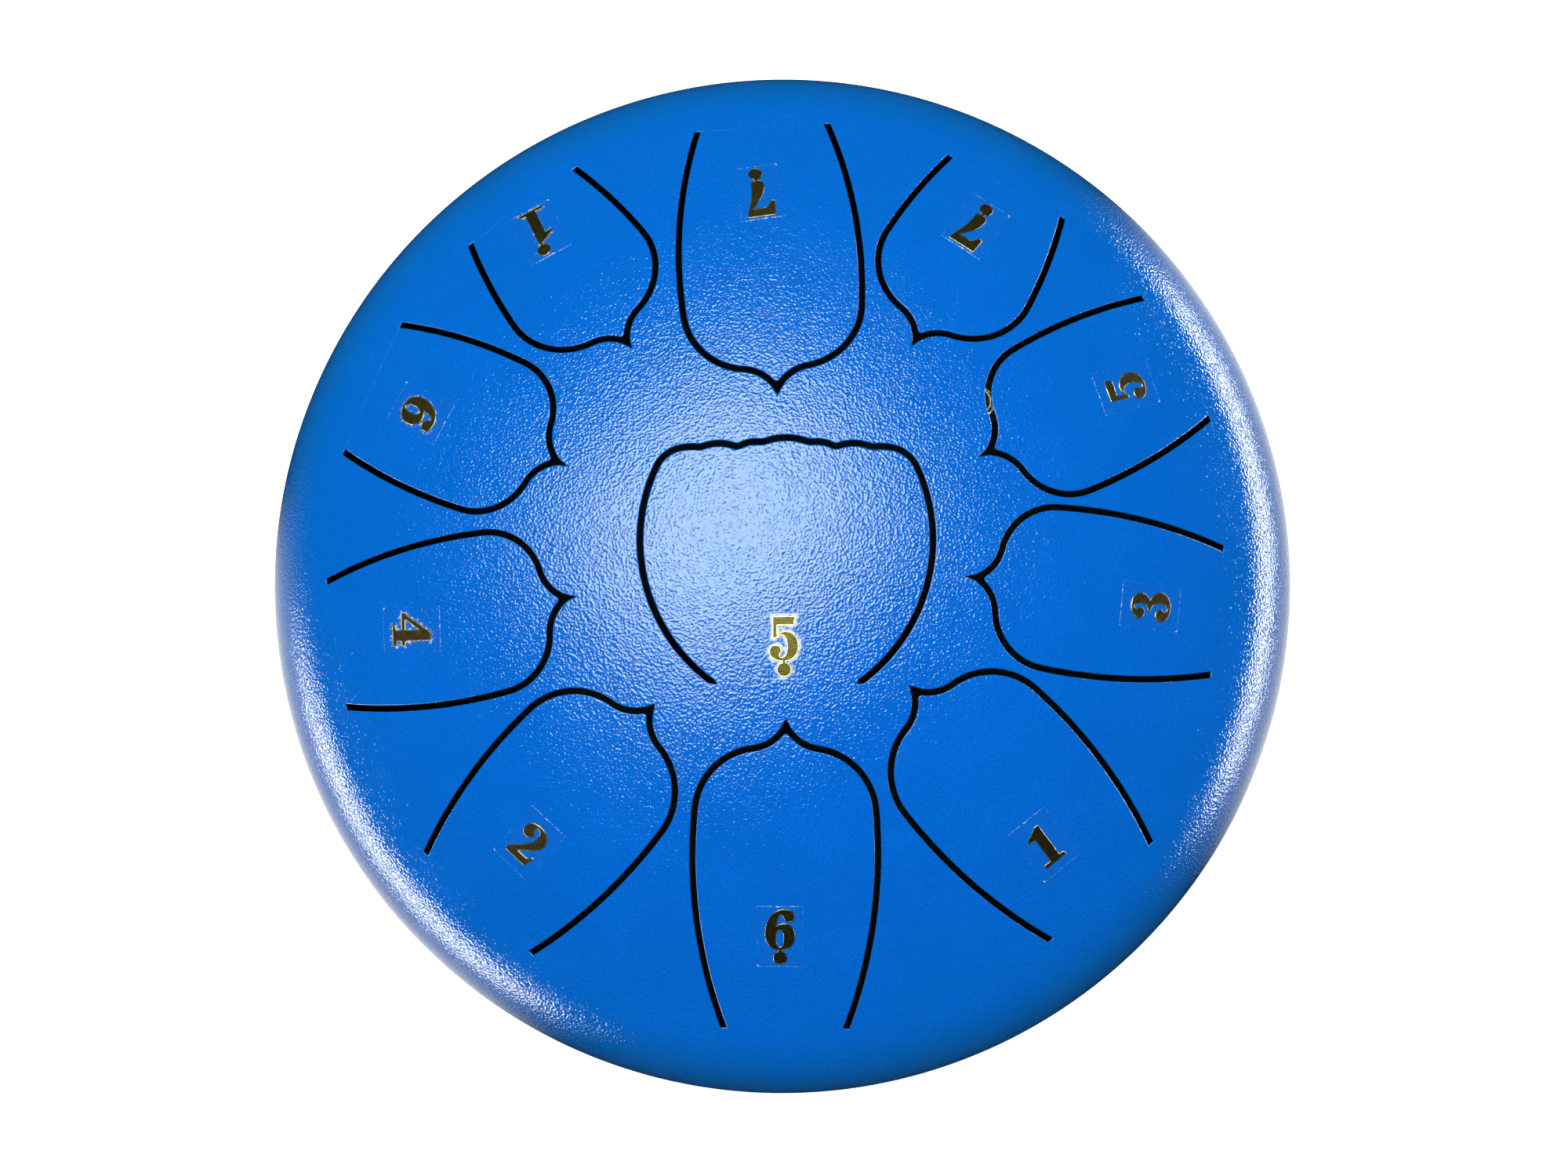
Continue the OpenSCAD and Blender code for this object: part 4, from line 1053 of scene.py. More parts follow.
def tongue_lines(s, i):
    """By note: the slot's outer line and the tongue's line in the tongue's frame, and that frame's
    turn and origin. The root line is x = 0 there, and the tip points along +x."""
    if i == len(TONGUES):
        return (*centre_lines(s), math.pi / 2, (s.centre_shift, -s.centre_root))
    root, axis, share, reach, kind = TONGUES[i]
    origin = drum_lines(s)["root"] * share * polar(math.radians(root))
    return (*outer_lines(s, MM * reach, kind), math.radians(axis + 180), origin)


def root_seam(s, line):
    """Points of the root line where the sheet runs on unbroken, and how far a tongue's corner
    moves along the root line for an inset of one."""
    way = line[0] - line[1]
    slide = math.hypot(*way) / abs(way[0])
    y = line[0, 1] - (s.slot_edge + GUARD) * slide
    count = max(4, round(2 * y / SEAM_STEP))
    return np.stack([np.zeros(count + 1), np.linspace(-y, y, count + 1)], -1), slide


def notch_outline(s, i):
    """The hole round a tongue in plan, clockwise, with its moves: the slot's outer line, the two
    slot ends, and the root line, which doesn't move."""
    outer, line, turn, origin = tongue_lines(s, i)
    seam, _ = root_seam(s, line)
    end = np.array([[0, -line[0, 1]]])
    outline = np.concatenate([outer, end, seam, -end])
    move = inward(outline)
    fixed = len(outer) + 1 + np.arange(len(seam))
    move[[fixed[0] - 1, fixed[-1] + 1]] = [-1, 0]
    move[fixed] = 0
    return turned(outline, turn, origin), turned(move, turn)


def tongue_outline(s, i):
    """A tongue in plan, anticlockwise, with its moves: its own line and the root line, where the
    corners slide along the root and the rest doesn't move. A hair's gap there lets it swing."""
    _, line, turn, origin = tongue_lines(s, i)
    seam, slide = root_seam(s, line)
    outline = np.concatenate([line[::-1], seam[-2:0:-1]])
    outline[:, 0] = np.maximum(outline[:, 0], ROOT_GAP)
    move = inward(outline)
    move[0], move[len(line) - 1] = (0, slide), (0, -slide)
    move[len(line):] = 0
    return turned(outline, turn, origin), turned(move, turn)


def sheet_edge(s):
    """Rows of a cut edge of the sheet: a narrow guard, a rounding of paint, the wall, which the
    shade darkens with its depth towards the dark primer, partly painted shade down the slot, and
    the sharp lower edge."""
    e, t, g = s.slot_edge, s.wall, GUARD
    round_over = [(e * (1 - math.sin(a)), e * (math.cos(a) - 1), a, 0.0)
                  for a in np.radians([0, 22.5, 45, 67.5, 90])]
    rows = [(e + g, 0.0, 0.0, 0.0)] + round_over
    # Painted shade: the wall darkens with depth, to 0.7 halfway down and fully at the lower edge.
    rows += [(0, -0.45 * t, math.pi / 2, 0.7), (0, -t, math.pi / 2, 1.0)]
    return doubled(rows) + [(0, -t, math.pi, 1.0), (e + g, -t, math.pi, 1.0)]


def half_shell(surface, ground, s, outlines, moves):
    """A half shell: the dome with its holes, and the shoulder and band as a profile round the axis.

    The shoulder is (shoulder_x + r sin a, band + r cos a) outside and, a wall nearer its centre,
    inside. The dome's rim has a point for each of the profile's columns."""
    lines = drum_lines(s)
    around = turns(SHELL_COLUMNS)
    rim = lines["knee"] * polar(around)
    above, below = plate(surface, ground, outlines, sheet_edge(s), SHELL_STEP, moves, rim)
    skins = []
    for radius, side in ((s.shoulder_radius, 1), (s.shoulder_radius - s.wall, -1)):
        start = math.asin((lines["knee"] - lines["shoulder_x"]) / radius)
        angle = np.linspace(start, math.pi / 2, SHOULDER_ROWS)
        r = lines["shoulder_x"] + radius * np.sin(angle)
        z = s.band + radius * np.cos(angle)
        r, z = np.append(r, r[-1]), np.append(z, s.weld_gap / 2)
        angle = np.append(angle, math.pi / 2)
        skin = ground.place(round_grid(r[:, None], z[:, None], around))
        normal = round_grid(np.sin(angle)[:, None], np.cos(angle)[:, None], around)
        skins.append((skin, side * normal @ ground.turn.T))
    (outer, outer_normal), (inner, inner_normal) = skins
    outer[0], inner[0] = above[:len(rim)], below[:len(rim)]
    for k in range(SHOULDER_ROWS):
        surface.strip(outer[k], outer[k + 1], outer_normal[k], outer_normal[k + 1])
        # The inner skin takes the dark primer, partly painted shade inside the shell.
        surface.strip(inner[k + 1], inner[k], inner_normal[k + 1], inner_normal[k], (1.0, 1.0))
    down = np.broadcast_to(ground.turn @ [0, 0, -1.0], outer[0].shape)
    surface.strip(outer[-1], inner[-1], down, down, (0.0, 1.0))


# ---------------------------------------------------------------------------------------------
# Operators: one for each group of pieces
# ---------------------------------------------------------------------------------------------


class DRUM_OT_upper_shell(bpy.types.Operator):
    """Upper shell: dome with eleven slots, shoulder and band"""

    bl_idname = "drum.upper_shell"
    bl_label = "Upper shell"

    def execute(self, context):
        s = context.scene.drum_sizes
        outlines, moves = zip(*(notch_outline(s, i) for i in range(len(NOTES))))
        surface = Surface()
        half_shell(surface, upper_ground(s), s, outlines, moves)
        make_piece("upper_shell_skin", surface, "shell", material_for(context, "blue_powder_coat"),
                   ["upper_shell"], "inside")
        return {"FINISHED"}


class DRUM_OT_tongues(bpy.types.Operator):
    """Tongues: eleven plates of the same sheet, each on its own body"""

    bl_idname = "drum.tongues"
    bl_label = "Tongues"

    def execute(self, context):
        s = context.scene.drum_sizes
        ground, paint = upper_ground(s), material_for(context, "blue_powder_coat")
        for i, note in enumerate(NOTES):
            surface = Surface()
            outline, move = tongue_outline(s, i)
            plate(surface, ground, [outline], sheet_edge(s), TONGUE_STEP, [move])
            make_piece(f"tongue_{note}_skin", surface, f"tongue_{note}", paint,
                       [f"tongue_{note}"], "inside")
        return {"FINISHED"}


HOLE_COLUMNS, SCREW_HOLE_EVERY = 240, 5  # points round the sound hole; a screw's has every fifth


class DRUM_OT_lower_shell(bpy.types.Operator):
    """Lower shell: dome with the sound hole and the holes for the feet's screws"""

    bl_idname = "drum.lower_shell"
    bl_label = "Lower shell"

    def execute(self, context):
        s, f = context.scene.drum_sizes, context.scene.drum_feet
        back = np.linspace(0, -2 * math.pi, HOLE_COLUMNS, endpoint=False)
        outlines = [s.sound_hole / 2 * polar(back)]
        for _, angle in FEET:
            middle = foot_middle(f, angle) * [1, -1]
            outlines.append(middle + (f.screw / 2 + f.clear) * polar(back[::SCREW_HOLE_EVERY]))
        surface = Surface()
        half_shell(surface, lower_ground(s), s, outlines, [inward(o) for o in outlines])
        make_piece("lower_shell_skin", surface, "shell", material_for(context, "blue_powder_coat"),
                   ["lower_shell"], "inside")
        return {"FINISHED"}


WELD_COLUMNS, WELD_ROWS = 1440, 13
RIPPLES, RIPPLE_MEAN, RIPPLE_SWING, RIPPLE_BOW = 300, 0.67, 0.18, 3


def weld_grid(s):
    """The bead's front is r = R + proud (1 - v^2) (mean + swing sin(ripples a + bow v^2)) for v
    from -1 to 1. Its back is a tongue between the rims, as deep as the sheet."""
    v, angle = np.linspace(-1, 1, WELD_ROWS)[:, None], turns(WELD_COLUMNS)
    r, gap = s.diameter / 2, s.weld_gap / 2
    ripple = RIPPLE_MEAN + RIPPLE_SWING * np.sin(RIPPLES * angle + RIPPLE_BOW * v * v)
    front = r + s.weld_proud * (1 - v * v) * ripple
    back = np.array([(r, gap), (r - s.wall, gap), (r - s.wall, -gap), (r, -gap)])
    back_radius = np.broadcast_to(back[:, :1], (len(back), WELD_COLUMNS))
    z = np.concatenate([s.weld_width / 2 * v, back[:, 1:]])
    shade = np.repeat([1.0, 0.0], [len(back), WELD_ROWS])
    grid = round_grid(np.concatenate([front, back_radius]), drum_lines(s)["equator"] + z, angle)
    return grid[::-1], shade


class DRUM_OT_weld(bpy.types.Operator):
    """Weld seam: a low rippled bead round the band, painted over"""

    bl_idname = "drum.weld"
    bl_label = "Weld seam"

    def execute(self, context):
        surface = Surface()
        surface.sheet(*weld_grid(context.scene.drum_sizes))
        make_piece("weld_bead", surface, "shell", material_for(context, "blue_powder_coat"),
                   ["weld_seam"], "inside")
        return {"FINISHED"}


FILM_EDGE, FILM_AIR, FILM_STEP = 0.00004, 0.00001, 0.0003  # rounding, gap below and net of a film
CLOUD_REACH, EDGE_REACH = 0.0011, 0.00022  # widths of the air round a numeral and of a painted glint along an edge
SIDE_PAINTED_GLINT, END_PAINTED_GLINT = 0.5, 0.75  # how strong the painted glints along the long and the short edges are
DOT_COLUMNS = 64
NUMERAL_NET = 2.4  # net steps across a numeral's rim


def sticker_ground(s, i):
    """The dome as sticker i sees it: turned square to it, with +y towards the drum's middle."""
    _, _, share, place, turn, _ = STICKERS[i]
    lines = drum_lines(s)
    tilt = math.asin(lines["root"] * share / s.dome_radius)
    turned_to = turn_z(math.radians(place)) @ turn_y(tilt) @ turn_z(math.radians(90 + turn))
    return Ground(s.dome_radius, 0, (0, 0, lines["equator"] + lines["dome_z"]), turned_to)


def numeral_shapes(t, i):
    """The shapes of sticker i in its own frame: the numeral with its hole, the dot and the neck
    between them, centred together."""
    digit, dot = STICKERS[i][:2]
    outer, hole, width, neck = DIGITS[digit]
    corner = np.array([-width * t.height / 2, -t.height / 2 - dot * (t.dot + t.dot_gap) / 2])
    numeral = [rounded(t.height * drawn(rows), t.soft, 3) + corner
               for rows in (outer, hole) if rows]
    if not dot:
        return [numeral]
    x = corner[0] + neck * t.height
    edge = corner[1] + (t.height if dot > 0 else 0)
    circle = polar(turns(DOT_COLUMNS)) * t.dot / 2
    dots = circle + [x, edge + dot * (t.dot_gap + t.dot / 2)]
    half, reach = t.neck / 2, t.dot_gap / 2 + t.neck / 2
    corners = np.array([(-half, -reach), (half, -reach), (half, reach), (-half, reach)])
    return [numeral, [dots], [corners + [x, edge + dot * t.dot_gap / 2]]]


def foil_profile(t):
    """Height, tilt and shade of a foil numeral from the depth: a quarter ellipse up to the rim,
    the rim, and a soft step down to the brushed face."""
    high, soft = t.film + t.foil, t.rim / 3

    def profile(deep):
        x = np.clip(deep / soft, 0, 1)
        step = np.clip((deep - t.rim) / soft, 0, 1)
        height = (high - 0.5 * t.foil * (1 - np.sqrt(1 - (1 - x) ** 2))
                  - 0.25 * t.foil * step ** 2 * (3 - 2 * step))
        tilt = (1 - x) * math.pi / 2 - 0.5 * np.sin(math.pi * step)
        return height, tilt, 1 - step

    return profile


def film_edge(t):
    """Rows of a film's edge: rounded above, upright, and sharp below, a little off the paint."""
    e, top, low, upright = FILM_EDGE, t.film, FILM_AIR, math.pi / 2
    return [(e, top, 0, 0), (0, top - e, upright, 0), (0, top - e, upright, 0),
            (0, low, upright, 0), (0, low, math.pi, 0), (e, low, math.pi, 0)]


def film_shade(plan, shapes, cloud, half):
    """How far the film looks to have come up off the paint, with its painted edge glints: cloud
    exp(-(d / reach)^2) at a distance d from the numeral, and a narrower bell of the same kind along
    each of the film's own cut edges, a painted glint."""
    near = np.maximum(-depth(plan, shapes)[0], 0)
    side, end = (half - np.abs(plan)).T
    return (cloud * np.exp(-(near / CLOUD_REACH) ** 2)
            + SIDE_PAINTED_GLINT * np.exp(-(side / EDGE_REACH) ** 2)
            + END_PAINTED_GLINT * np.exp(-(end / EDGE_REACH) ** 2))


class DRUM_OT_stickers(bpy.types.Operator):
    """Note stickers: clear films and the foil numerals on them"""

    bl_idname = "drum.stickers"
    bl_label = "Note stickers"

    def execute(self, context):
        s, t = context.scene.drum_sizes, context.scene.drum_stickers
        half = np.array([t.film_width, t.film_length]) / 2
        film = rounded(np.array([(-1, -1), (1, -1), (1, 1), (-1, 1)]) * half, t.film_corner)
        for i, note in enumerate(NOTES):
            ground, shapes, cloud = sticker_ground(s, i), numeral_shapes(t, i), STICKERS[i][5]
            surface = Surface()
            plate(surface, ground, [film], film_edge(t), FILM_STEP)
            make_piece(f"film_{note}_clear", surface, f"tongue_{note}",
                       material_for(context, "film_and_air"), [f"film_{note}"],
                       "air_and_edge_glint", ground, lambda plan: film_shade(plan, shapes, cloud, half))
            surface = Surface()
            embossed(surface, ground, shapes, t.film, foil_profile(t), t.rim / NUMERAL_NET)
            make_piece(f"numeral_{note}_foil", surface, f"tongue_{note}",
                       material_for(context, "brushed_foil"), [f"numeral_{note}"],
                       "rim", ground)
        return {"FINISHED"}


# The feet's corners: rounding at the bore, inside and outside the hollow, and at the top.
FOOT_CORNERS, FOOT_TOP_CORNER = (0.0001, 0.0005, 0.0006), 0.00001
FOOT_COLUMNS, FOOT_SIDE_ROWS = 120, 7
FOOT_LIP = 0.0003  # how much narrower a foot is where it meets the shell


def foot_middle(f, angle):
    """Plan place of a foot."""
    return f.distance * polar(math.radians(angle))


def under_dome(s, place, radius):
    """Height of the lower dome, of the given radius, over plan places."""
    return s.floor_gap + s.dome_radius - np.sqrt(radius ** 2 - (place ** 2).sum(-1))


def on_lower_dome(profile, lift, middle, s, radius, columns):
    """A profile carried round an upright line, with each row raised by a share of the way from
    its own height to the dome above it."""
    grid = revolved(profile, middle, columns)
    ceiling = under_dome(s, grid[..., :2], radius)
    grid[..., 2] += lift[:, None] * (ceiling - grid[..., 2])
    return grid


def foot_profile(f):
    """A foot's profile, from the bore round the hollow and the base to the outside, and each
    point's share of the rise to the dome: one at the bore's top, and up to one outside."""
    bore, hollow = f.screw / 2 + f.clear, f.hollow_width / 2
    base, top = f.base / 2, f.top / 2
    corners = [(bore, f.hollow), (hollow, f.hollow), (hollow, 0), (base, 0), (top, f.hollow)]
    low = rounded(corners, [*FOOT_CORNERS, f.edge, FOOT_TOP_CORNER], 6)[1:-1]
    low = low[low[:, 0] > bore + 1e-5]
    inner = np.tile([bore, f.hollow], (2, 1))
    outer = np.tile([top, f.hollow], (FOOT_SIDE_ROWS, 1))
    outer[-1, 0] = top - FOOT_LIP
    lift = [[1.0, 0.0], np.zeros(len(low)), np.linspace(0, 1, FOOT_SIDE_ROWS + 1)[1:]]
    return np.concatenate([inner, low, outer]), np.concatenate(lift)


class DRUM_OT_feet(bpy.types.Operator):
    """Feet: four rubber feet under the lower shell"""

    bl_idname = "drum.feet"
    bl_label = "Feet"

    def execute(self, context):
        s, f = context.scene.drum_sizes, context.scene.drum_feet
        profile, lift = foot_profile(f)
        for name, angle in FEET:
            surface = Surface()
            surface.sheet(on_lower_dome(profile, lift, foot_middle(f, angle), s, s.dome_radius,
                                        FOOT_COLUMNS))
            make_piece(f"foot_{name}_rubber", surface, "shell",
                       material_for(context, "moulded_rubber"), [f"foot_{name}"])
        return {"FINISHED"}


# Small sizes of the fasteners, in metres unless they are shares.
RING_COLUMNS, WASHER_EDGE = 72, 0.00015
SEAT_EDGE, SEAT_SOFT, SEAT_ROUND, SEAT_RISE = 0.0003, 0.0002, 0.00008, 0.96
NUT_COLUMNS, NUT_ROWS, NUT_PLAY = 144, 6, 0.00005
NUT_CORNER, NUT_CONE, NUT_SLOPE = 0.0006, 0.96, 1.7
SCREW_COLUMNS, HEAD_ROWS, THREAD_ROWS = 96, 44, 96
HEAD_BAND, HEAD_EDGE, HEAD_SOFT = 0.35, 0.0003, 0.0002
CROSS_HALF, CROSS_REACH, CROSS_DEPTH, CROSS_SLOPE = 0.07, 0.275, 0.5, 0.0002
PLAIN_END, THREAD_START, THREAD_FADE, THREAD_DEPTH = 0.0015, 0.0014, 0.001, 0.3
POINT_HEIGHT, POINT_CUT = 0.0004, 0.0006


def screw_levels(s, f):
    """Heights along a foot's screw: the head's seat, the top of the inner seat, the nut."""
    head = f.hollow - f.washer_thickness
    rim = f.distance + f.seat / 2
    seat = under_dome(s, np.array([rim, 0.0]), s.dome_radius - s.wall) + f.seat_thickness
    return head, float(seat), float(seat) + f.washer_thickness


class DRUM_OT_fasteners(bpy.types.Operator):
    """Fasteners of the feet: screws, washers, rubber seats and nuts"""

    bl_idname = "drum.fasteners"
    bl_label = "Fasteners"

    def execute(self, context):
        s, f = context.scene.drum_sizes, context.scene.drum_feet
        head, seat, nut = screw_levels(s, f)
        for name, maker, level, node, material, slot in (
                ("foot_screws_zinc", self.screw, head, "foot_screws", "bright_zinc", "zinc_steel"),
                ("foot_washers_zinc", self.washer, head, "foot_washers", "bright_zinc",
                 "zinc_steel"),
                ("nut_washers_zinc", self.washer, seat, "nut_washers", "bright_zinc", "zinc_steel"),
                ("foot_nuts_zinc", self.nut, nut, "foot_nuts", "bright_zinc", "zinc_steel"),
                ("inner_seats_rubber", self.seat, seat, "inner_seats", "moulded_rubber",
                 "black_rubber")):
            surface = Surface()
            for _, angle in FEET:
                maker(surface, s, f, foot_middle(f, angle), level)
            make_piece(name, surface, "shell", material_for(context, material), [node])
        return {"FINISHED"}

    @staticmethod
    def washer(surface, s, f, middle, low):
        """A flat ring with rounded edges."""
        bore, r, t = f.screw / 2 + f.clear, f.washer / 2, f.washer_thickness
        corners = [(bore, low + t), (bore, low), (r, low), (r, low + t)]
        surface.sheet(revolved(rounded(corners, WASHER_EDGE, 3), middle, RING_COLUMNS))

    @staticmethod
    def seat(surface, s, f, middle, level):
        """A rubber ring, level on top and sloped to the dome below."""
        bore, r = f.screw / 2 + f.clear, f.seat / 2
        profile = np.array([(bore, level), (bore, level), (r - SEAT_SOFT, level), (r, level),
                            (r, level - SEAT_EDGE), (r - SEAT_ROUND, level - SEAT_ROUND),
                            (r - SEAT_EDGE, level), (bore + SEAT_SOFT, level)])
        lift = np.array([0, 1, 1, SEAT_RISE, 0, 0, 0, 0])
        inside_radius = s.dome_radius - s.wall
        surface.sheet(on_lower_dome(profile, lift, middle, s, inside_radius, RING_COLUMNS))

    @staticmethod
    def nut(surface, s, f, middle, low):
        """A hexagon r = a / cos(a6), where a6 is the angle from the nearest flat, whose corners
        are cut by cones at both ends."""
        flat, h = f.nut / 2, f.nut_height
        angle = turns(NUT_COLUMNS)
        hexagon = flat / np.cos((angle + math.pi / 6) % (math.pi / 3) - math.pi / 6)
        z = np.concatenate([[h, 0], np.linspace(0, NUT_CORNER, NUT_ROWS),
                            np.linspace(h - NUT_CORNER, h, NUT_ROWS)])[:, None]
        radius = np.minimum(hexagon, NUT_CONE * flat + NUT_SLOPE * np.minimum(z, h - z))
        radius[:2] = f.screw / 2 + NUT_PLAY
        surface.sheet(round_grid(radius, low + z, angle, middle))

    @staticmethod
    def screw(surface, s, f, middle, seat):
        """A ball-topped head with a cross recess, and a shank whose upper end is threaded: there
        r = d/2 - depth pitch |2 frac(z / pitch - a / 2 pi) - 1|."""
        nut, angle = screw_levels(s, f)[2], turns(SCREW_COLUMNS)
        head, shank = f.head / 2, f.screw / 2
        bulge = f.head_height - HEAD_BAND * f.head_height
        ball = (head ** 2 + bulge ** 2) / (2 * bulge)
        r = np.linspace(0, head, HEAD_ROWS)[:, None]
        drop = f.head_height - ball + np.sqrt(ball ** 2 - r * r)
        place = np.abs(r[..., None] * polar(angle))
        cross = np.maximum(place.min(-1) - CROSS_HALF * f.head,
                           place.max(-1) - CROSS_REACH * f.head)
        drop = drop - CROSS_DEPTH * f.head_height * np.clip(0.5 - cross / CROSS_SLOPE, 0, 1)
        face = round_grid(r, seat - drop, angle)
        plain = np.array([(head, seat - HEAD_EDGE), (head - HEAD_SOFT, seat), (shank, seat),
                          (shank, nut - PLAIN_END)])
        tip = seat + f.screw_length
        z = np.linspace(nut - THREAD_START, tip - POINT_HEIGHT, THREAD_ROWS)[:, None]
        tooth = np.abs(2 * ((z / f.pitch - angle / (2 * math.pi)) % 1) - 1)
        fade = np.clip((z - z[0]) / THREAD_FADE, 0, 1)
        thread = round_grid(shank - THREAD_DEPTH * f.pitch * tooth * fade, z, angle)
        end_z = z[-1, 0] + POINT_HEIGHT
        point = np.array([(shank - POINT_CUT, end_z), (0.0, end_z)])
        low, end = (revolved(part, (0, 0), SCREW_COLUMNS) for part in (plain, point))
        grid = np.concatenate([face, low, thread, end])
        grid[..., :2] += middle
        surface.sheet(grid, close_rows=False)


# By pool of light on the floor: bearing, and the cosines off it where it ends and is full.
POOLS = ((9, 0.72, 0.9), (205, 0.78, 0.94))
POOL_GLOW, FLOOR_GLOW = 0.75, 0.84
FLOOR_PAINTED_SHADOW = (0.55, 1.02)  # shares of the drum's radius between which the painted shadow under it ends
FLOOR_COLUMNS, FLOOR_RINGS, FLOOR_INNER, FLOOR_OUTER = 96, 40, 0.05, 8
# By lamp: place, what it faces, width and height, watts, tint, and whether only gloss shows it. A
# wide soft lamp hangs over the back, a soft box over the drum and two stand low beside the band.
LAMPS = (
    ("lamp_over", (-0.05, 0.1, 1.12), (0, 0, 0.1), (0.6, 0.6), 14.2, (1, 1, 1), False),
    ("soft_box_over", (-0.14, 0.18, 1.02), (0, 0, 0.13), (0.72, 0.6), 20.0, (0.87, 1, 0.6), True),
    ("soft_box_right", (0.47, 0.07, 0.07), (0, 0, 0.07), (0.62, 0.12), 4.4, (1, 1, 1), True),
    ("soft_box_left", (-0.4, -0.255, 0.07), (0, 0, 0.07), (0.46, 0.12), 3.0, (1, 1, 1), True),
)
# The photograph's camera: its size and optical centre in pixels, focal length in pixels, tip to
# the front and lean to the side in degrees, distance, and the height of what it faces.
PHOTO_SIZE, PHOTO_CENTRE, FOCAL = (2000, 1500), (995.944, 740.831), 3559.04
CAMERA_TIP, CAMERA_LEAN, CAMERA_FAR, CAMERA_AIM, SENSOR = 4.3434, 1.2846, 0.7, 0.078, 36


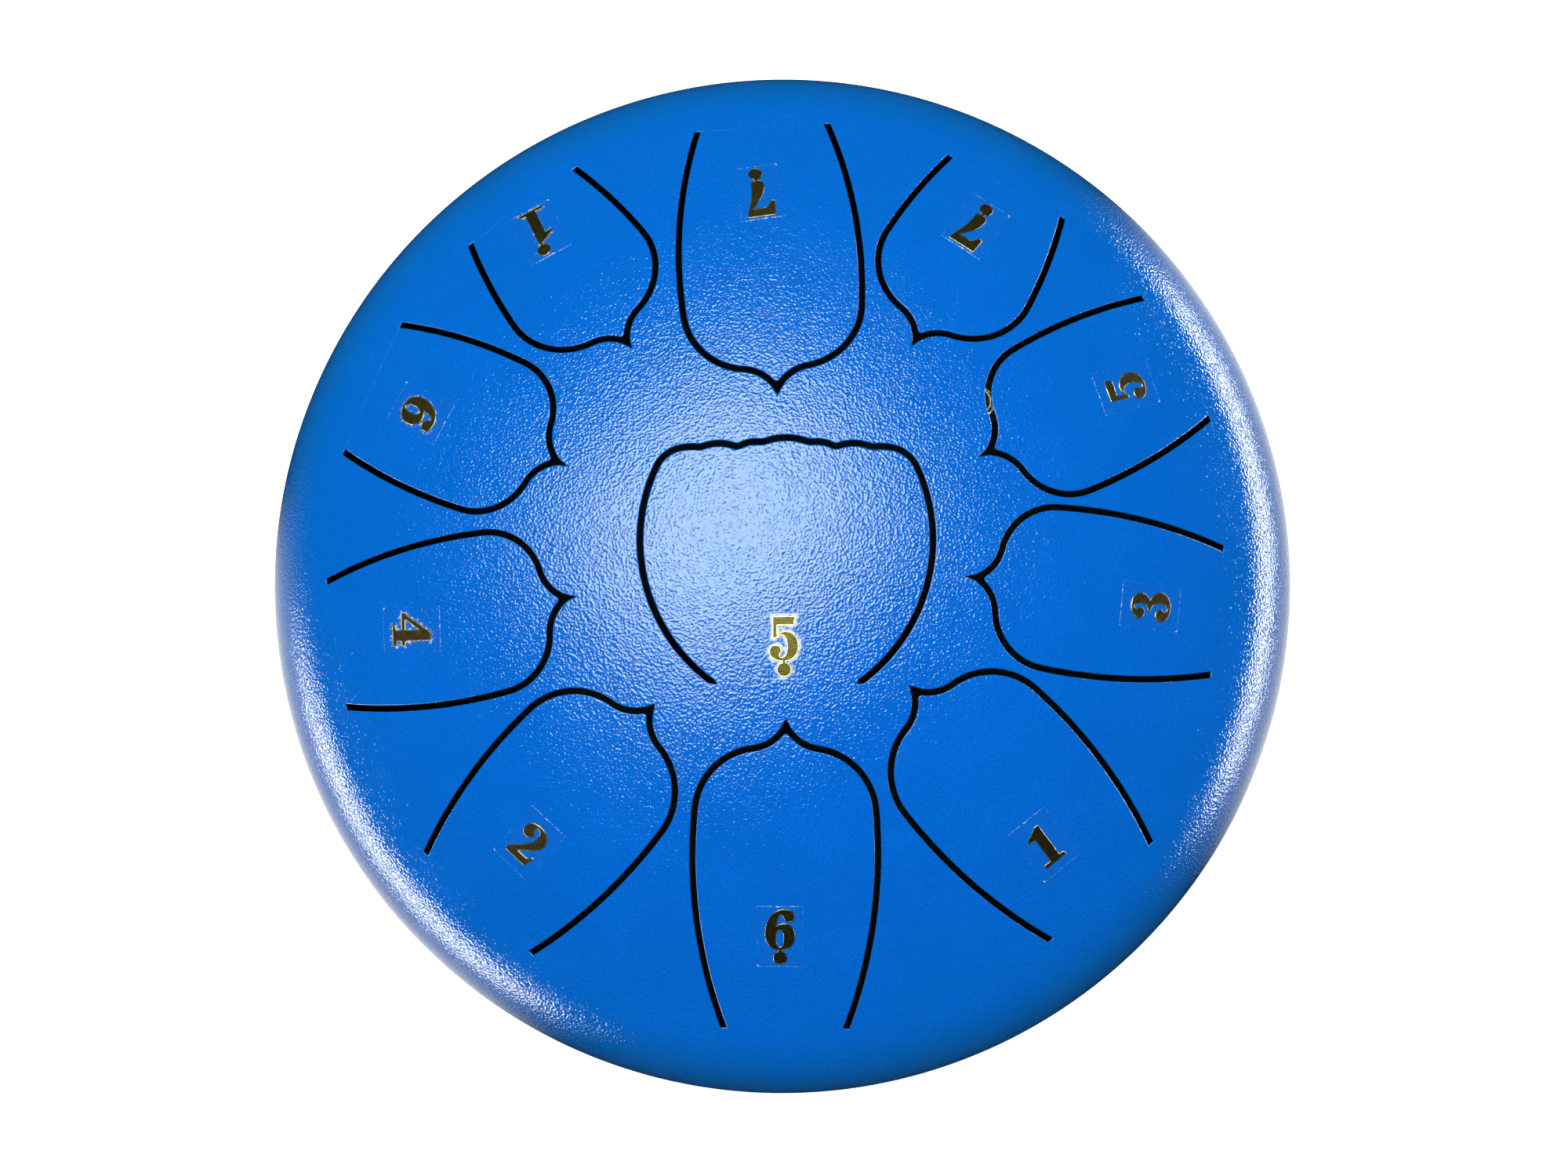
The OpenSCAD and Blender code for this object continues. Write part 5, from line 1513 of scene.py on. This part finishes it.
class DRUM_OT_stage(bpy.types.Operator):
    """Stage: floor, lamps, surroundings and camera"""

    bl_idname = "drum.stage"
    bl_label = "Stage"

    def execute(self, context):
        scene = context.scene
        scene.view_settings.view_transform = "Standard"
        self.floor(scene)
        self.surroundings(scene)
        self.lamps(scene)
        self.camera(scene)
        return {"FINISHED"}

    @staticmethod
    def floor(scene):
        """A flat disc of rings whose radius grows by a constant share."""
        material = floor_material(scene.drum_finish, scene.drum_sizes.diameter / 2)
        n = FLOOR_COLUMNS
        radius = np.concatenate([[0], np.geomspace(FLOOR_INNER, FLOOR_OUTER, FLOOR_RINGS)])[:, None]
        grid = round_grid(radius, np.zeros_like(radius), turns(n)).reshape(-1, 3)
        row, a = np.meshgrid(np.arange(1, FLOOR_RINGS), np.arange(n), indexing="ij")
        b = (a + 1) % n
        quads = np.stack([row * n + a, (row + 1) * n + a, (row + 1) * n + b, row * n + b], -1)
        inner = np.stack([np.zeros(n, int), n + a[0], n + b[0]], -1)
        mesh = bpy.data.meshes.new("pale_floor")
        mesh.from_pydata(grid.tolist(), [], quads.reshape(-1, 4).tolist() + inner.tolist())
        mesh.materials.append(material)
        floor = bpy.data.objects.new("pale_floor", mesh)
        scene.collection.objects.link(floor)

    @staticmethod
    def surroundings(scene):
        """A studio: dim round the drum, and white behind it to the camera."""
        world, finish = bpy.data.worlds.new("studio"), scene.drum_finish
        scene.world = world
        world.use_nodes = True
        tree = world.node_tree
        way = put(tree, "ShaderNodeTexCoord").outputs["Generated"]
        up = put(tree, "ShaderNodeSeparateXYZ", {0: way}).outputs[2]
        tone = blend(tree, spread(tree, up, 0.0, 0.3), rgba(finish.studio_low),
                     rgba(finish.studio_high))
        path = put(tree, "ShaderNodeLightPath").outputs
        seen = combine(tree, path["Is Camera Ray"], path["Is Transmission Ray"], "MAXIMUM")
        connect(tree, tree.nodes["Background"].inputs["Color"], blend(tree, seen, tone, WHITE))

    @staticmethod
    def lamps(scene):
        """The lamps of the table, each an area lamp that faces its aim."""
        for name, place, aim, size, power, tint, gloss in LAMPS:
            lamp = bpy.data.lights.new(name, "AREA")
            lamp.shape, lamp.size, lamp.size_y, lamp.energy = "RECTANGLE", *size, power
            lamp.color = tint
            lamp_object = bpy.data.objects.new(name, lamp)
            lamp_object.location = place
            way = Vector(place) - Vector(aim)
            lamp_object.rotation_euler = way.to_track_quat("Z", "Y").to_euler()
            lamp_object.visible_diffuse, lamp_object.visible_glossy = not gloss, gloss
            scene.collection.objects.link(lamp_object)

    @staticmethod
    def camera(scene):
        """The photograph's camera, a little in front of the drum's axis and facing down."""
        tip, lean = math.radians(CAMERA_TIP), math.radians(CAMERA_LEAN)
        way = Vector((math.sin(lean), -math.sin(tip) * math.cos(lean),
                      math.cos(tip) * math.cos(lean)))
        right = (-way).cross(Vector((0, 1, 0))).normalized()
        up = right.cross(-way)
        width, height = PHOTO_SIZE
        data = bpy.data.cameras.new("photo_camera")
        data.sensor_width, data.lens = SENSOR, SENSOR * FOCAL / width
        data.shift_x = (width / 2 - PHOTO_CENTRE[0]) / width
        data.shift_y = (PHOTO_CENTRE[1] - height / 2) / width
        data.clip_end = 50
        camera = bpy.data.objects.new("photo_camera", data)
        camera.matrix_world = Matrix((right, up, way)).transposed().to_4x4()
        camera.location = Vector((0, 0, CAMERA_AIM)) + CAMERA_FAR * way
        scene.collection.objects.link(camera)
        scene.camera = camera


class DRUM_PT_panel(bpy.types.Panel):
    """Steps that build the drum, with its sizes and colours"""

    bl_idname = "DRUM_PT_panel"
    bl_label = "Tongue drum"
    bl_space_type = "VIEW_3D"
    bl_region_type = "UI"
    bl_category = "Tongue drum"

    def draw(self, context):
        for step in STEPS:
            self.layout.operator(step.bl_idname)
        for group in ("drum_sizes", "drum_stickers", "drum_feet", "drum_finish"):
            box = self.layout.box()
            values = getattr(context.scene, group)
            for name in type(values).__annotations__:
                box.prop(values, name)


GROUPS = (("drum_sizes", DrumSizes), ("drum_stickers", StickerSizes), ("drum_feet", FootSizes),
          ("drum_finish", DrumFinish))
STEPS = (DRUM_OT_stage, DRUM_OT_upper_shell, DRUM_OT_tongues, DRUM_OT_lower_shell, DRUM_OT_weld,
         DRUM_OT_stickers, DRUM_OT_feet, DRUM_OT_fasteners)


def register():
    """Registers the groups, the steps and the panel."""
    for name, group in GROUPS:
        bpy.utils.register_class(group)
        setattr(bpy.types.Scene, name, bpy.props.PointerProperty(type=group))
    for step in (*STEPS, DRUM_PT_panel):
        bpy.utils.register_class(step)


def unregister():
    """Takes them away again."""
    for step in reversed((*STEPS, DRUM_PT_panel)):
        bpy.utils.unregister_class(step)
    for name, group in reversed(GROUPS):
        delattr(bpy.types.Scene, name)
        bpy.utils.unregister_class(group)


def main():
    register()
    for step in STEPS:
        getattr(bpy.ops.drum, step.bl_idname.split(".")[1])()


if __name__ == "__main__":
    main()
